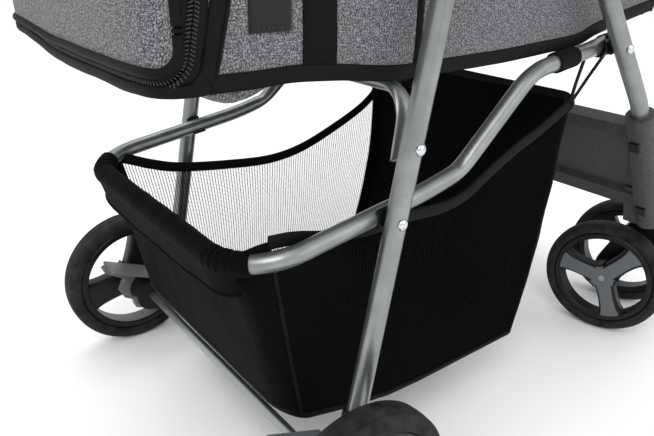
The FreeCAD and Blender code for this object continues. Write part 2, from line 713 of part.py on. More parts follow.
# Foot pedals: a paddle and hook on a short pivot pin that stands out of the housing.
PEDAL_X = LEG_X + 11.4
PEDAL_WIDTH = 10.0
pedal_outline = [
    (AXLE_Y - 12, 93), (AXLE_Y - 9, 100), (AXLE_Y + 40, 122), (AXLE_Y + 46, 120), (AXLE_Y + 44, 114),
    (AXLE_Y + 22, 100), (AXLE_Y + 30, 84), (AXLE_Y + 26, 76), (AXLE_Y + 16, 70), (AXLE_Y + 14, 58),
    (AXLE_Y + 7, 55), (AXLE_Y + 5, 66), (AXLE_Y - 8, 72),
]
for side_name, side in SIDES.items():
    web = plate(f"pedal_web_{side_name}", pedal_outline, PEDAL_WIDTH,
                x=mirrored_x(side, PEDAL_X, PEDAL_WIDTH))
    tread_turn = FreeCAD.Rotation(X_AXIS, 24.0)
    tread = block(f"pedal_tread_{side_name}", (34.0, 54.0, 3.0),
                  mirrored_x(side, PEDAL_X - 24, 34.0), AXLE_Y - 7, 101.5, tread_turn)
    whole = fuse(f"pedal_whole_{side_name}", [web, tread])
    hole = rod(f"pedal_hole_{side_name}", AXLE_RADIUS + 0.3, 60.0,
               mirrored_x(side, PEDAL_X - 20, 60.0), AXLE_Y, REAR_RADIUS, X_AXIS)
    keep(f"brake_pedal_{side_name}", cut(f"pedal_{side_name}", whole, hole))


# ---------------------------------------------------------------- wheels
def tyre_section(radius, width, depth):
    """Half section of a solid tyre with rounded shoulders, about its own middle."""
    half = width / 2
    inner = radius - depth
    return [
        (inner, -half + 3), (inner + 3, -half), (radius - 9, -half), (radius - 4, -half + 2),
        (radius - 1, -half + 6), (radius, -half + 10), (radius, half - 10), (radius - 1, half - 6),
        (radius - 4, half - 2), (radius - 9, half), (inner + 3, half), (inner, half - 3),
    ]


def rim_section(radius, width, depth, hub_radius, bore_radius):
    """Half section of a rim: hub, thin web and outer ring, about its own middle."""
    half = width / 2
    ring = radius - depth - 0.05
    return [
        (bore_radius, -half), (hub_radius, -half), (hub_radius, -4), (ring - 5, -4), (ring - 5, -half + 4),
        (ring, -half + 4), (ring, half - 4), (ring - 5, half - 4), (ring - 5, 4), (hub_radius, 4),
        (hub_radius, half), (bore_radius, half),
    ]


def rim_body(name, radius, width, depth, hub_radius, bore_radius, turn, x, y, z):
    """A rim with three spokes: three windows are cut through the web in a polar pattern."""
    body = turned(name, rim_section(radius, width, depth, hub_radius, bore_radius), x, y, z, turn)
    ring = radius - depth - 0.05
    window = new_sketch(body, name + "_window", "XY_Plane")
    outline = [
        (hub_radius + 3, -7), (hub_radius + 3, 7), (ring * 0.5, (ring - 7) * 0.62),
        (ring * 0.72, (ring - 7) * 0.6), (ring - 7, 9), (ring - 7, -9),
        (ring * 0.72, (ring - 7) * -0.6), (ring * 0.5, (ring - 7) * -0.62),
    ]
    draw_outline(window, outline)
    pocket = body.newObject("PartDesign::Pocket", name + "_pocket")
    pocket.Profile = window
    pocket.Type = "ThroughAll"
    pocket.Midplane = True
    pattern = body.newObject("PartDesign::PolarPattern", name + "_windows")
    pattern.Originals = [pocket]
    pattern.Axis = (origin_plane(body, "Z_Axis"), [""])
    pattern.Angle = 360.0
    pattern.Occurrences = 3
    body.Tip = pattern
    window.Visibility = False
    return body


REAR_DEPTH = 15.0
FRONT_DEPTH = 13.0
REAR_HUB = 15.0
FRONT_HUB = 12.0
across = FreeCAD.Rotation(Z_AXIS, X_AXIS)
for side_name, side in SIDES.items():
    spot = (side * REAR_X, AXLE_Y, REAR_RADIUS)
    keep(f"rear_tyre_{side_name}", turned(
        f"rear_tyre_{side_name}_body", tyre_section(REAR_RADIUS, REAR_WIDTH, REAR_DEPTH),
        *spot, turn=across))
    keep(f"rear_rim_{side_name}", rim_body(
        f"rear_rim_{side_name}_body", REAR_RADIUS, REAR_WIDTH, REAR_DEPTH, REAR_HUB,
        AXLE_RADIUS + RUNNING_GAP, across, *spot))
    cap_section = [
        (0, 2.3), (AXLE_RADIUS + 0.2, 2.3), (AXLE_RADIUS + 0.2, 0.05), (12.5, 0.05), (11, 3.4), (0, 4.2),
    ]
    cap_turn = FreeCAD.Rotation(Z_AXIS, V(side, 0, 0))
    keep(f"rear_hub_cap_{side_name}", turned(
        f"rear_hub_cap_{side_name}_body", cap_section,
        side * (REAR_X + REAR_WIDTH / 2), AXLE_Y, REAR_RADIUS, turn=cap_turn))

# Casters: a fork turns in each boss, and a wheel runs on either side of the fork.
FORK_WIDTH = 42.0
AXLE_PIN = 4.0
fork_outline = [
    (-16, 150), (16, 150), (30, 128), (52, 86), (54, 66),
    (44, 56), (30, 57), (16, 66), (-4, 104), (-16, 120),
]
turn_angle = size("caster_turn").value
for side_name, side in SIDES.items():
    # A caster's own frame has U along its trail and V along its axle.
    heading = FreeCAD.Rotation(Z_AXIS, 90.0 + side * turn_angle)
    trail_line = heading.multVec(X_AXIS)
    axle_line = heading.multVec(V(0, 1, 0))
    middle = V(side * SWIVEL_X.value, SWIVEL_Y.value, 0) + trail_line * size("caster_trail").value
    fork_plate = plate(f"fork_plate_{side_name}", fork_outline, FORK_WIDTH, "XZ_Plane",
                       side * SWIVEL_X + axle_line.x * FORK_WIDTH / 2,
                       SWIVEL_Y + axle_line.y * FORK_WIDTH / 2, 0, heading)
    stem = rod(f"fork_stem_{side_name}", STEM_RADIUS, 38.0, side * SWIVEL_X, SWIVEL_Y, 148.0)
    collar = rod(f"fork_collar_{side_name}", 13.0, 2.0, side * SWIVEL_X, SWIVEL_Y, 149.5)
    fork_start = middle - axle_line * 40
    bore = rod(f"fork_bore_{side_name}", AXLE_PIN + FIT_GAP, 80.0,
               fork_start.x, fork_start.y, FRONT_RADIUS, axle_line)
    fork_solid = fuse(f"fork_solid_{side_name}", [fork_plate, stem, collar])
    keep(f"caster_fork_{side_name}", cut(f"fork_{side_name}", fork_solid, bore))
    pin_half = size("twin_spacing").value / 2 + FRONT_WIDTH.value / 2 - 1
    pin_start = middle - axle_line * pin_half
    keep(f"caster_axle_{side_name}", rod(
        f"caster_pin_{side_name}", AXLE_PIN, 2 * pin_half,
        pin_start.x, pin_start.y, FRONT_RADIUS, axle_line))
    for wheel_name, end in (("rear", -side), ("front", side)):
        centre = middle + axle_line * (end * size("twin_spacing").value / 2)
        outward = FreeCAD.Rotation(Z_AXIS, axle_line * end)
        spot = (centre.x, centre.y, FRONT_RADIUS)
        label = f"{side_name}_{wheel_name}"
        keep(f"caster_tyre_{label}", turned(
            f"caster_tyre_{label}_body", tyre_section(FRONT_RADIUS, FRONT_WIDTH, FRONT_DEPTH),
            *spot, turn=outward))
        keep(f"caster_rim_{label}", rim_body(
            f"caster_rim_{label}_body", FRONT_RADIUS, FRONT_WIDTH, FRONT_DEPTH, FRONT_HUB,
            AXLE_PIN + RUNNING_GAP, outward, *spot))

# ---------------------------------------------------------------- basket support tube
# From the rear bar each arm runs forward, rises in two bends and ends just past its pivot.
ARM_ROUTE = [(50.0, 261.0), (-122.0, 285.0), (-160.0, 294.0), (-244.0, 366.0), (-357.0, 379.5)]


def support_point(side, spot):
    return V(side * SUPPORT_X.value, behind_axle(spot[0]).value, spot[1])


right_arm = [support_point(-1, spot) for spot in reversed(ARM_ROUTE)]
left_arm = [support_point(1, spot) for spot in ARM_ROUTE]
support_bends = [60.0, 50.0, 300.0, 50.0, 50.0, 300.0, 50.0, 60.0]
support_bar = space_tube("support_bar", right_arm + left_arm, support_bends,
                         SUPPORT_RADIUS.value, TUBE_WALL.value)
keep("support_tube", cut("support_drilled", support_bar, pivot_hole))
saddles = []
for prefix, centre in (("front_saddle", SUPPORT_PIVOT), ("brace_spacer", BRACE_PIVOT)):
    for side_name, side in SIDES.items():
        ring_x = mirrored_x(side, SUPPORT_X + SUPPORT_RADIUS + 0.1, 2.2)
        ring = rod(f"{prefix}_{side_name}", 8.0, 2.2, ring_x, centre[0], centre[1], X_AXIS)
        saddles.append(ring)
keep("tube_saddles", group("saddle_set", [
    cut(f"saddle_{number}", ring, pivot_hole) for number, ring in enumerate(saddles)]))

# ---------------------------------------------------------------- basket
BASKET_SIDE = [
    (behind_axle(42), 248.0), (behind_axle(14), 118.0), (behind_axle(-11), 104.0),
    (behind_axle(-57), 92.0), (behind_axle(-144), 80.0), (behind_axle(-290), 76.0),
    (behind_axle(-326), 222.0), (behind_axle(-334), 328.0), (behind_axle(-312), 300.0),
    (behind_axle(-276), 282.0), (behind_axle(-206), 264.0), (behind_axle(-104), 247.0),
]
for side_name, side in SIDES.items():
    keep(f"basket_side_{side_name}", plate(
        f"basket_side_{side_name}_body", BASKET_SIDE, CLOTH, x=mirrored_x(side, BASKET_X - CLOTH, CLOTH)))
BASKET_INNER = BASKET_X - CLOTH - 0.1


def cloth_strip(name, points, half_width):
    """A cloth wall that runs across the stroller: a thin band in the side plane, padded in X."""
    upper = [(Size.of(a), Size.of(b)) for a, b in points]
    lower = [shifted for shifted in offset_line(upper, CLOTH.value)]
    return plate(name, upper + lower[::-1], 2 * half_width, x=-half_width)


def offset_line(points, distance):
    """The same open line moved sideways, so that the two bound a band of even thickness."""
    moved = []
    count = len(points)
    for index, (a, b) in enumerate(points):
        before = points[max(index - 1, 0)]
        after = points[min(index + 1, count - 1)]
        run = V(after[0].value - before[0].value, after[1].value - before[1].value, 0).normalize()
        moved.append((a - run.y * distance, b + run.x * distance))
    return moved


keep("basket_rear", cloth_strip("basket_rear_body", [
    (behind_axle(44), 252.0), (behind_axle(32), 186.0), (behind_axle(16), 118.0)], BASKET_INNER))
keep("basket_floor", cloth_strip("basket_floor_body", [
    (behind_axle(12), 115.0), (behind_axle(-11), 102.0), (behind_axle(-57), 90.0),
    (behind_axle(-144), 78.0), (behind_axle(-286), 74.0)], BASKET_INNER))
keep("basket_front", cloth_strip("basket_front_body", [
    (behind_axle(-335), 326.0), (behind_axle(-328), 222.0),
    (behind_axle(-292.5), 78.0)][::-1], BASKET_INNER))

# ---------------------------------------------------------------- cabin
CABIN_BOTTOM = [
    (behind_axle(66), 392.0), (behind_axle(-2), 388.0), (behind_axle(-90), 380.0),
    (behind_axle(-203), 377.0),
    (behind_axle(-280), 378.0), (behind_axle(-346), 388.0), (behind_axle(-440), 403.0),
]
CABIN_RIM = [
    (behind_axle(-466), 560.0), (behind_axle(-430), 606.0), (behind_axle(-300), 612.0),
    (behind_axle(66), 624.0),
]
for side_name, side in SIDES.items():
    keep(f"cabin_side_{side_name}", plate(
        f"cabin_side_{side_name}_body", CABIN_BOTTOM + CABIN_RIM, CLOTH,
        x=mirrored_x(side, CABIN_X - CLOTH, CLOTH)))
CABIN_INNER = CABIN_X - CLOTH - 0.1
keep("cabin_floor", cloth_strip("cabin_floor_body", [
    (behind_axle(64), 391.0), (behind_axle(-2), 388.0), (behind_axle(-90), 380.0),
    (behind_axle(-203), 377.0), (behind_axle(-280), 378.0), (behind_axle(-346), 388.0),
    (behind_axle(-436), 402.5)][::-1], CABIN_INNER))
keep("cabin_front", cloth_strip("cabin_front_body", [
    (behind_axle(-439), 406.0), (behind_axle(-464), 560.0), (behind_axle(-456), 574.0)], CABIN_INNER))
MAT_THICKNESS = 12.0
mat_outline = [
    (behind_axle(56), 394.5), (behind_axle(-2), 391.5), (behind_axle(-90), 383.5),
    (behind_axle(-203), 380.5),
    (behind_axle(-280), 381.5), (behind_axle(-346), 391.5), (behind_axle(-420), 404.0),
    (behind_axle(-420), 404.0 + MAT_THICKNESS), (behind_axle(-346), 391.5 + MAT_THICKNESS),
    (behind_axle(-280), 381.5 + MAT_THICKNESS), (behind_axle(-203), 380.5 + MAT_THICKNESS),
    (behind_axle(-90), 383.5 + MAT_THICKNESS), (behind_axle(-2), 391.5 + MAT_THICKNESS),
    (behind_axle(56), 394.5 + MAT_THICKNESS),
]
keep("floor_mat", plate("floor_mat_body", mat_outline, 268.0, x=-134.0))

# The rear of the cabin bulges in plan. A fixed band closes its foot, and the door fills the rest.
REAR_FLAT = 30.0
BAND_FOOT_Z = 392.0
DOOR_FOOT_Z = 412.0
DOOR_TOP_Z = 620.0


def rear_plan(gap, thickness):
    """Plan outline of the bulging rear wall, a gap inside the cabin's outer line."""
    outer = [
        (-CABIN_X + gap, behind_axle(67)), (-CABIN_X + gap + 6, behind_axle(80)),
        (-CABIN_X + 44, behind_axle(91)), (-REAR_FLAT, behind_axle(96)),
        (REAR_FLAT, behind_axle(96)), (CABIN_X - 44, behind_axle(91)),
        (CABIN_X - gap - 6, behind_axle(80)), (CABIN_X - gap, behind_axle(67)),
    ]
    inner = [
        (-CABIN_X + gap + thickness, behind_axle(67)), (-CABIN_X + gap + 6 + thickness, behind_axle(78)),
        (-CABIN_X + 45, behind_axle(91) - thickness), (-REAR_FLAT, behind_axle(96) - thickness),
        (REAR_FLAT, behind_axle(96) - thickness), (CABIN_X - 45, behind_axle(91) - thickness),
        (CABIN_X - gap - 6 - thickness, behind_axle(78)), (CABIN_X - gap - thickness, behind_axle(67)),
    ]
    return outer + inner[::-1]


keep("cabin_rear_band", plate("rear_band_body", rear_plan(0.0, CLOTH), DOOR_FOOT_Z - 0.5 - BAND_FOOT_Z,
                              "XY_Plane", z=BAND_FOOT_Z))
keep("rear_door", plate("rear_door_body", rear_plan(0.6, DOOR_THICKNESS), DOOR_TOP_Z - DOOR_FOOT_Z,
                        "XY_Plane", z=DOOR_FOOT_Z))


# ---------------------------------------------------------------- canopy
CANOPY_X = 147.0
FRONT_BOW_ANGLE = 176.0
MID_BOW_ANGLE = 120.0
REAR_EDGE_ANGLE = 4.0
HOOD_STEPS = 7


def hood_point(angle, radius):
    """A (y, z) place at an angle above the rear horizontal, about the canopy pivot."""
    turn = math.radians(angle)
    return (CANOPY_PIVOT[0] + radius * math.cos(turn), CANOPY_PIVOT[1] + radius * math.sin(turn))


def hood(name, low, high, radius, half_width):
    """One hood panel: an arched top sheet and a fan-shaped cheek on either side, as one shell."""
    angles = [low + (high - low) * step / HOOD_STEPS for step in range(HOOD_STEPS + 1)]
    outer = [hood_point(angle, radius) for angle in angles]
    inner = [hood_point(angle, radius - CLOTH) for angle in reversed(angles)]
    top = plate(f"{name}_top", outer + inner, 2 * half_width, x=-half_width)
    hub = 26.0
    fan = outer + [hood_point(high, hub), hood_point(low, hub)]
    cheeks = [
        plate(f"{name}_cheek_{side_name}", fan, CLOTH, x=mirrored_x(side, half_width - CLOTH, CLOTH))
        for side_name, side in SIDES.items()
    ]
    return fuse(name, [top] + cheeks)


HOOD_HALF = CANOPY_X + 4.0
keep("canopy_rear", hood("hood_rear", REAR_EDGE_ANGLE, MID_BOW_ANGLE - 2, CANOPY_RADIUS, HOOD_HALF))
keep("canopy_front", hood("hood_front", MID_BOW_ANGLE + 2, FRONT_BOW_ANGLE - 1.2, CANOPY_RADIUS, HOOD_HALF))


def bow(name, angle, arm_x):
    """A U-shaped hood bow in the plane that holds the pivot line and the bow's angle."""
    reach = CANOPY_RADIUS.value - CLOTH.value - BOW_RADIUS.value - 0.5
    foot = hood_point(angle, 14.0)
    top = hood_point(angle, reach)
    corners = [
        V(-arm_x, foot[0].value, foot[1].value), V(-arm_x, top[0].value, top[1].value),
        V(arm_x, top[0].value, top[1].value), V(arm_x, foot[0].value, foot[1].value),
    ]
    return space_tube(name, corners, [46.0, 46.0], BOW_RADIUS.value)


keep("canopy_bow_front", bow("front_bow_rod", FRONT_BOW_ANGLE, HOOD_HALF - CLOTH.value - 4.5))
keep("canopy_bow_mid", bow("mid_bow_rod", MID_BOW_ANGLE, HOOD_HALF - CLOTH.value - 12.5))
pivots = []
for side_name, side in SIDES.items():
    pivots.append(rod(f"canopy_pivot_{side_name}", 9.0, 6.0,
                      mirrored_x(side, HOOD_HALF + 0.4, 6.0), CANOPY_PIVOT[0], CANOPY_PIVOT[1], X_AXIS))
keep("canopy_pivots", group("canopy_pivot_pair", pivots))

# ---------------------------------------------------------------- check and write
doc.recompute()
failed = [item.Label for item in doc.Objects if "Invalid" in item.State or "Error" in item.State]
if failed:
    raise SystemExit(f"failed: {failed}")
for item in nodes:
    if item.Shape.isNull() or not item.Shape.isValid() or item.Shape.Volume <= 0:
        raise SystemExit(f"{item.Label} has no valid solid")

os.makedirs("parts", exist_ok=True)
whole = FreeCAD.BoundBox()
for item in nodes:
    item.Shape.exportStep(os.path.join("parts", item.Label + ".step"))
    whole.add(item.Shape.BoundBox)
print(f"{len(nodes)} nodes, X {whole.XMin:.1f} to {whole.XMax:.1f}, Y {whole.YMin:.1f} to {whole.YMax:.1f}, "
      f"Z {whole.ZMin:.1f} to {whole.ZMax:.1f}")
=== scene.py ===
"""Looks of a folding pet stroller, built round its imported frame.

Sizes in the classes are millimetres from the middle of the rear axle's line on the ground:
X to the stroller's left, Y towards the rear and Z up. The function row turns them into metres
in the row frame.
"""
import logging
import math
from dataclasses import dataclass, field
from enum import Enum

import bpy
import numpy as np
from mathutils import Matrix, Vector


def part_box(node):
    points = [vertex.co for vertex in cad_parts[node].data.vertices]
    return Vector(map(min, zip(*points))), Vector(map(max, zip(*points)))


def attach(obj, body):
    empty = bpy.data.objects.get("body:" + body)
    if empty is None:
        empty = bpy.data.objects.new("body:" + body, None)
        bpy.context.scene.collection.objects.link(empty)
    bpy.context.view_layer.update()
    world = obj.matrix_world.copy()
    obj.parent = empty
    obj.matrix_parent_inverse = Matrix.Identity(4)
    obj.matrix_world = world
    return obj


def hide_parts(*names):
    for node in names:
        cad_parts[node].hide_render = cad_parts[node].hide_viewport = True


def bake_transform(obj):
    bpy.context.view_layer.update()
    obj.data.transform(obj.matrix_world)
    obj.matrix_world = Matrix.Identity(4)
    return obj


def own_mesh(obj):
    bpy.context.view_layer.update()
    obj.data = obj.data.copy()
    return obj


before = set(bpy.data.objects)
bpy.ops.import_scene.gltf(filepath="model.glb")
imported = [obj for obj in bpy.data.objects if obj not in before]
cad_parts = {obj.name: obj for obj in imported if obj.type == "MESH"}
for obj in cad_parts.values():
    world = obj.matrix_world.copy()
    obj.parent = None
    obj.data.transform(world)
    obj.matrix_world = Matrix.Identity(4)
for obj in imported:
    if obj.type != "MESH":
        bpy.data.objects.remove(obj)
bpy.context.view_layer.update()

LOG = logging.getLogger("pet_stroller")
MM = 0.001
Array = np.ndarray


class Side(Enum):
    """The two sides of the stroller, with the sign of X on each."""

    LEFT = 1
    RIGHT = -1


AXLE_Y = float(sum(corner.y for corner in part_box("rear_axle")) / 2)


# ------------------------------------------------------------------ arithmetic of shapes
def row(points: Array) -> Array:
    """Turn millimetres about the rear axle into metres in the row frame.

    Args:
        points: places, the last axis being X, Y, Z.

    Returns:
        The same places, scaled and moved back by the axle's place.
    """
    return np.asarray(points, float) * MM + np.array([0.0, AXLE_Y, 0.0])


def unit(vectors: Array) -> Array:
    """Vectors divided by their own length."""
    return vectors / np.maximum(np.linalg.norm(vectors, axis=-1, keepdims=True), 1e-12)


def smooth_step(value: Array, low: float, high: float) -> Array:
    """Zero below low, one above high, and the cubic 3t^2 - 2t^3 in between."""
    share = np.clip((np.asarray(value, float) - low) / (high - low), 0.0, 1.0)
    return share * share * (3.0 - 2.0 * share)


def bump_at(value: Array, centre: float, width: float) -> Array:
    """A bell curve of height one: e to the minus squared distance over width."""
    return np.exp(-(((np.asarray(value, float) - centre) / width) ** 2))


def through(points: list | Array, count: int, closed: bool = False) -> Array:
    """A Catmull-Rom curve through the points.

    Between two points it is the cubic whose end slopes are half the step between the
    neighbours, so it runs through every point without corners.

    Args:
        points: the places to run through.
        count: how many places to return.
        closed: whether the curve joins its end to its start.

    Returns:
        Places evenly spaced in the curve's parameter.
    """
    knots = np.asarray(points, float)
    if closed:
        knots = np.vstack([knots[-1:], knots, knots[:2]])
    else:
        knots = np.vstack([2 * knots[:1] - knots[1:2], knots, 2 * knots[-1:] - knots[-2:-1]])
    spans = len(knots) - 3
    place = np.linspace(0.0, spans, count, endpoint=not closed)
    index = np.minimum(place.astype(int), spans - 1)
    t = (place - index)[:, None]
    a, b, c, d = (knots[index + k] for k in range(4))
    return 0.5 * (2 * b + (c - a) * t + (2 * a - 5 * b + 4 * c - d) * t**2 + (3 * b - a - 3 * c + d) * t**3)


def even(path: Array, count: int) -> Array:
    """The same line with its places evenly spaced along its length."""
    steps = np.r_[0.0, np.cumsum(np.linalg.norm(np.diff(path, axis=0), axis=1))]
    wanted = np.linspace(0.0, steps[-1], count)
    return np.stack([np.interp(wanted, steps, path[:, k]) for k in range(path.shape[1])], 1)


def length_of(path: Array) -> float:
    """The length of a line of places."""
    return float(np.linalg.norm(np.diff(path, axis=0), axis=-1).sum())


def bent(corners: list, radii: list, step: float = 4.0) -> Array:
    """A bent tube's centre line: straight runs joined by arcs that touch both.

    At each inner corner the arc starts radius over the tangent of half the corner's angle
    before it, and its centre lies on the line that halves the corner.

    Args:
        corners: the corners of the route.
        radii: the arc's radius at each inner corner.
        step: the longest distance between places on the line.

    Returns:
        Places along the line.
    """
    corners = np.asarray(corners, float)
    pieces = [corners[:1]]
    for corner, before, after, radius in zip(corners[1:-1], corners[:-2], corners[2:], radii):
        back, ahead = unit(before - corner), unit(after - corner)
        half = 0.5 * math.acos(float(np.clip(back @ ahead, -1, 1)))
        start = corner + back * radius / math.tan(half)
        centre = corner + unit(back + ahead) * radius / math.sin(half)
        turn = math.pi - 2 * half
        sweep = np.linspace(0.0, turn, max(6, int(radius * turn / step) + 2))[:, None]
        out, onward = unit(start - centre), -back
        pieces.append(centre + radius * (np.cos(sweep) * out + np.sin(sweep) * onward))
    pieces.append(corners[-1:])
    line = np.vstack(pieces)
    return even(line, max(8, int(length_of(line) / step)))


def frames(path: Array, up: Array) -> tuple[Array, Array]:
    """Two directions across a line: one square to it and to up, and one square to both."""
    along = unit(np.gradient(path, axis=0))
    across = unit(np.cross(along, np.broadcast_to(up, along.shape)))
    return across, np.cross(across, along)


def swept(path: Array, section: Array, up: tuple = (0.0, 0.0, 1.0)) -> Array:
    """Carry a closed section along a line.

    A place is the line's place plus the section's first number across the line plus its
    second number along the direction that is nearest to up.

    Args:
        path: the line, n places.
        section: m places of two numbers, or n by m where the section changes on the way.
        up: the direction that the section keeps upright to.

    Returns:
        A grid of n by m places.
    """
    across, upward = frames(path, np.asarray(up, float))
    section = np.broadcast_to(section, (len(path), *section.shape[-2:]))
    return path[:, None] + section[..., :1] * across[:, None] + section[..., 1:] * upward[:, None]


def ring_section(radius_across: float, radius_up: float, count: int = 28, power: float = 2.0) -> Array:
    """A round or squarish section: cosine and sine raised to two over the power."""
    angle = np.linspace(0.0, 2 * math.pi, count, endpoint=False)
    cosine, sine = np.cos(angle), np.sin(angle)
    first = radius_across * np.sign(cosine) * np.abs(cosine) ** (2 / power)
    second = radius_up * np.sign(sine) * np.abs(sine) ** (2 / power)
    return np.stack([first, second], 1)


def turned(profile: Array, centre: Array, axis: Array, count: int = 96) -> Array:
    """Turn a profile about an axis.

    The profile's first number is the place along the axis and its second the distance from
    it, so a place is centre + axis * first + second * (cosine * upright + sine * level).

    Args:
        profile: m places of two numbers.
        centre: the place on the axis where the first number is zero.
        axis: the axis' unit direction, which is level.
        count: how many places round the axis.

    Returns:
        A grid of m by count places.
    """
    axis = unit(np.asarray(axis, float))
    helper = np.array([0.0, 0.0, 1.0]) if abs(axis[2]) < 0.9 else np.array([0.0, 1.0, 0.0])
    level = unit(np.cross(axis, helper))
    upright = np.cross(level, axis)
    angle = np.linspace(0.0, 2 * math.pi, count, endpoint=False)[None, :, None]
    spoke = np.cos(angle) * upright + np.sin(angle) * level
    return centre + profile[:, None, :1] * axis + profile[:, None, 1:] * spoke


def soft_noise(first: Array, second: Array, scale: float, seed: int) -> Array:
    """Smooth bumps over a surface, between -1 and 1.

    Seeded random numbers on a square net of the given spacing are joined by the cubic
    3t^2 - 2t^3 in both directions.

    Args:
        first: one coordinate of each place, in millimetres.
        second: the other coordinate.
        scale: the net's spacing in millimetres.
        seed: picks the random numbers.

    Returns:
        One number for each place.
    """
    net = np.random.default_rng(seed).uniform(-1.0, 1.0, (64, 64))
    a, b = np.asarray(first, float) / scale + 17.0, np.asarray(second, float) / scale + 11.0
    i, j = np.floor(a).astype(int), np.floor(b).astype(int)
    s, t = a - i, b - j
    s, t = s * s * (3 - 2 * s), t * t * (3 - 2 * t)
    i, j, k, m = i % 64, j % 64, (i + 1) % 64, (j + 1) % 64
    return (net[i, j] * (1 - s) + net[k, j] * s) * (1 - t) + (net[i, m] * (1 - s) + net[k, m] * s) * t


# ------------------------------------------------------------------ meshes
@dataclass
class Mesh:
    """Collects grids of places and turns them into one Blender mesh."""

    name: str
    places: list = field(default_factory=list)
    faces: list = field(default_factory=list)
    corners: list = field(default_factory=list)
    slots: list = field(default_factory=list)
    count: int = 0

    def grid(
        self, points: Array, around: bool = False, ends: bool = False, slot: int = 0,
        flip: bool = False, slot_of: Array | None = None, uv: Array | None = None,
    ) -> "Mesh":
        """Add a grid of places in millimetres about the axle.

        The texture coordinates are the distances along the grid's two directions, in
        millimetres, from its first row and column.

        Args:
            points: n by m places.
            around: whether the second direction joins up on itself.
            ends: whether the two ends of a tube are closed.
            slot: the material's number.
            flip: whether to turn the faces over.
            slot_of: a material number for each face, n - 1 by m or m - 1.
            uv: texture coordinates for each place, in place of the distances.

        Returns:
            The mesh itself.
        """
        n, m = points.shape[:2]
        wide = np.concatenate([points, points[:, :1]], 1) if around else points
        if uv is None:
            down = np.linalg.norm(np.diff(wide, axis=0), axis=-1).mean(1)
            over = np.linalg.norm(np.diff(wide, axis=1), axis=-1).mean(0)
            steps = np.r_[0, np.cumsum(down)], np.r_[0, np.cumsum(over)]
            uv = np.stack(np.meshgrid(*steps, indexing="ij"), -1)
        rows, columns = np.meshgrid(np.arange(n - 1), np.arange(wide.shape[1] - 1), indexing="ij")
        number = rows * m + columns
        beside = rows * m + (columns + 1) % m
        quads = np.stack([number, number + m, beside + m, beside], -1).reshape(-1, 4)
        maps = np.stack([uv[:-1, :-1], uv[1:, :-1], uv[1:, 1:], uv[:-1, 1:]], 2).reshape(-1, 4, 2)
        if flip:
            quads, maps = quads[:, ::-1], maps[:, ::-1]
        kinds = np.full(len(quads), slot) if slot_of is None else np.broadcast_to(
            slot_of, rows.shape).reshape(-1)
        self.faces += (quads + self.count).tolist()
        self.corners += maps.reshape(-1, 2).tolist()
        self.slots += kinds.tolist()
        if ends:
            for start, turn in ((0, 1), ((n - 1) * m, -1)):
                loop = (np.arange(m) + start + self.count)[::turn]
                if flip:
                    loop = loop[::-1]
                self.faces.append(loop.tolist())
                self.corners += [[0.0, 0.0]] * m
                self.slots.append(slot)
        self.places.append(points.reshape(-1, 3))
        self.count += n * m
        return self

    def build(
        self, materials: list, body: str | None = None, replaces: tuple = (), slot: str | None = None,
    ) -> bpy.types.Object:
        """Make the object, dress it and hang it on a body.

        Args:
            materials: one material for each slot number.
            body: the body that it rides on, or None where it rides on none.
            replaces: the CAD nodes that it stands for.
            slot: the name of the material slot for its finish; not used.

        Returns:
            The new object.
        """
        data = bpy.data.meshes.new(self.name)
        data.from_pydata(row(np.vstack(self.places)).tolist(), [], self.faces)
        layer = data.uv_layers.new(name="cloth_mm")
        layer.data.foreach_set("uv", np.asarray(self.corners, np.float32).ravel())
        for material in materials:
            data.materials.append(material)
        data.polygons.foreach_set("material_index", np.asarray(self.slots, np.int32))
        data.polygons.foreach_set("use_smooth", np.ones(len(self.faces), bool))
        data.update()
        item = bpy.data.objects.new(self.name, data)
        bpy.context.scene.collection.objects.link(item)
        if body:
            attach(item, body)
        if replaces:
            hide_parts(*replaces)
        LOG.info("%s: %d faces", self.name, len(self.faces))
        return item


def thicken(item: bpy.types.Object, thickness: float, offset: float = -1.0) -> bpy.types.Object:
    """Give a sheet its thickness in millimetres, by default on its inner side."""
    solid = item.modifiers.new("thickness", "SOLIDIFY")
    solid.thickness = thickness * MM
    solid.offset = offset
    solid.use_rim = True
    return item


def sharpen(item: bpy.types.Object, degrees: float = 40.0) -> bpy.types.Object:
    """Keep the edges that turn more than the given angle crisp."""
    with bpy.context.temp_override(object=item, active_object=item, selected_editable_objects=[item]):
        bpy.ops.object.shade_smooth_by_angle(angle=math.radians(degrees))
    return item


# ------------------------------------------------------------------ finishes
def linear(code: str) -> tuple[float, float, float, float]:
    """An sRGB hex colour as linear red, green, blue and alpha."""
    parts = np.array([int(code[k:k + 2], 16) for k in (1, 3, 5)]) / 255
    scaled = np.where(parts <= 0.04045, parts / 12.92, ((parts + 0.055) / 1.055) ** 2.4)
    return (*(float(part) for part in scaled), 1.0)


def add_node(
    tree: bpy.types.NodeTree, kind: str, settings: dict | None = None, inputs: dict | None = None,
) -> bpy.types.Node:
    """Add a node to a tree.

    Args:
        tree: the node tree.
        kind: the node's type name.
        settings: the node's own properties.
        inputs: for each input's name or number, a constant or the socket that feeds it.

    Returns:
        The node.
    """
    node = tree.nodes.new(kind)
    for name, value in (settings or {}).items():
        setattr(node, name, value)
    for name, value in (inputs or {}).items():
        if isinstance(value, bpy.types.NodeSocket):
            tree.links.new(value, node.inputs[name])
        else:
            node.inputs[name].default_value = value
    return node


def shaded(code: str, factor: float, extra: int = 0) -> str:
    """A hex colour with each channel multiplied and raised, up to full brightness."""
    parts = (int(int(code[k:k + 2], 16) * factor) + extra for k in (1, 3, 5))
    return "#%02x%02x%02x" % tuple(min(255, part) for part in parts)


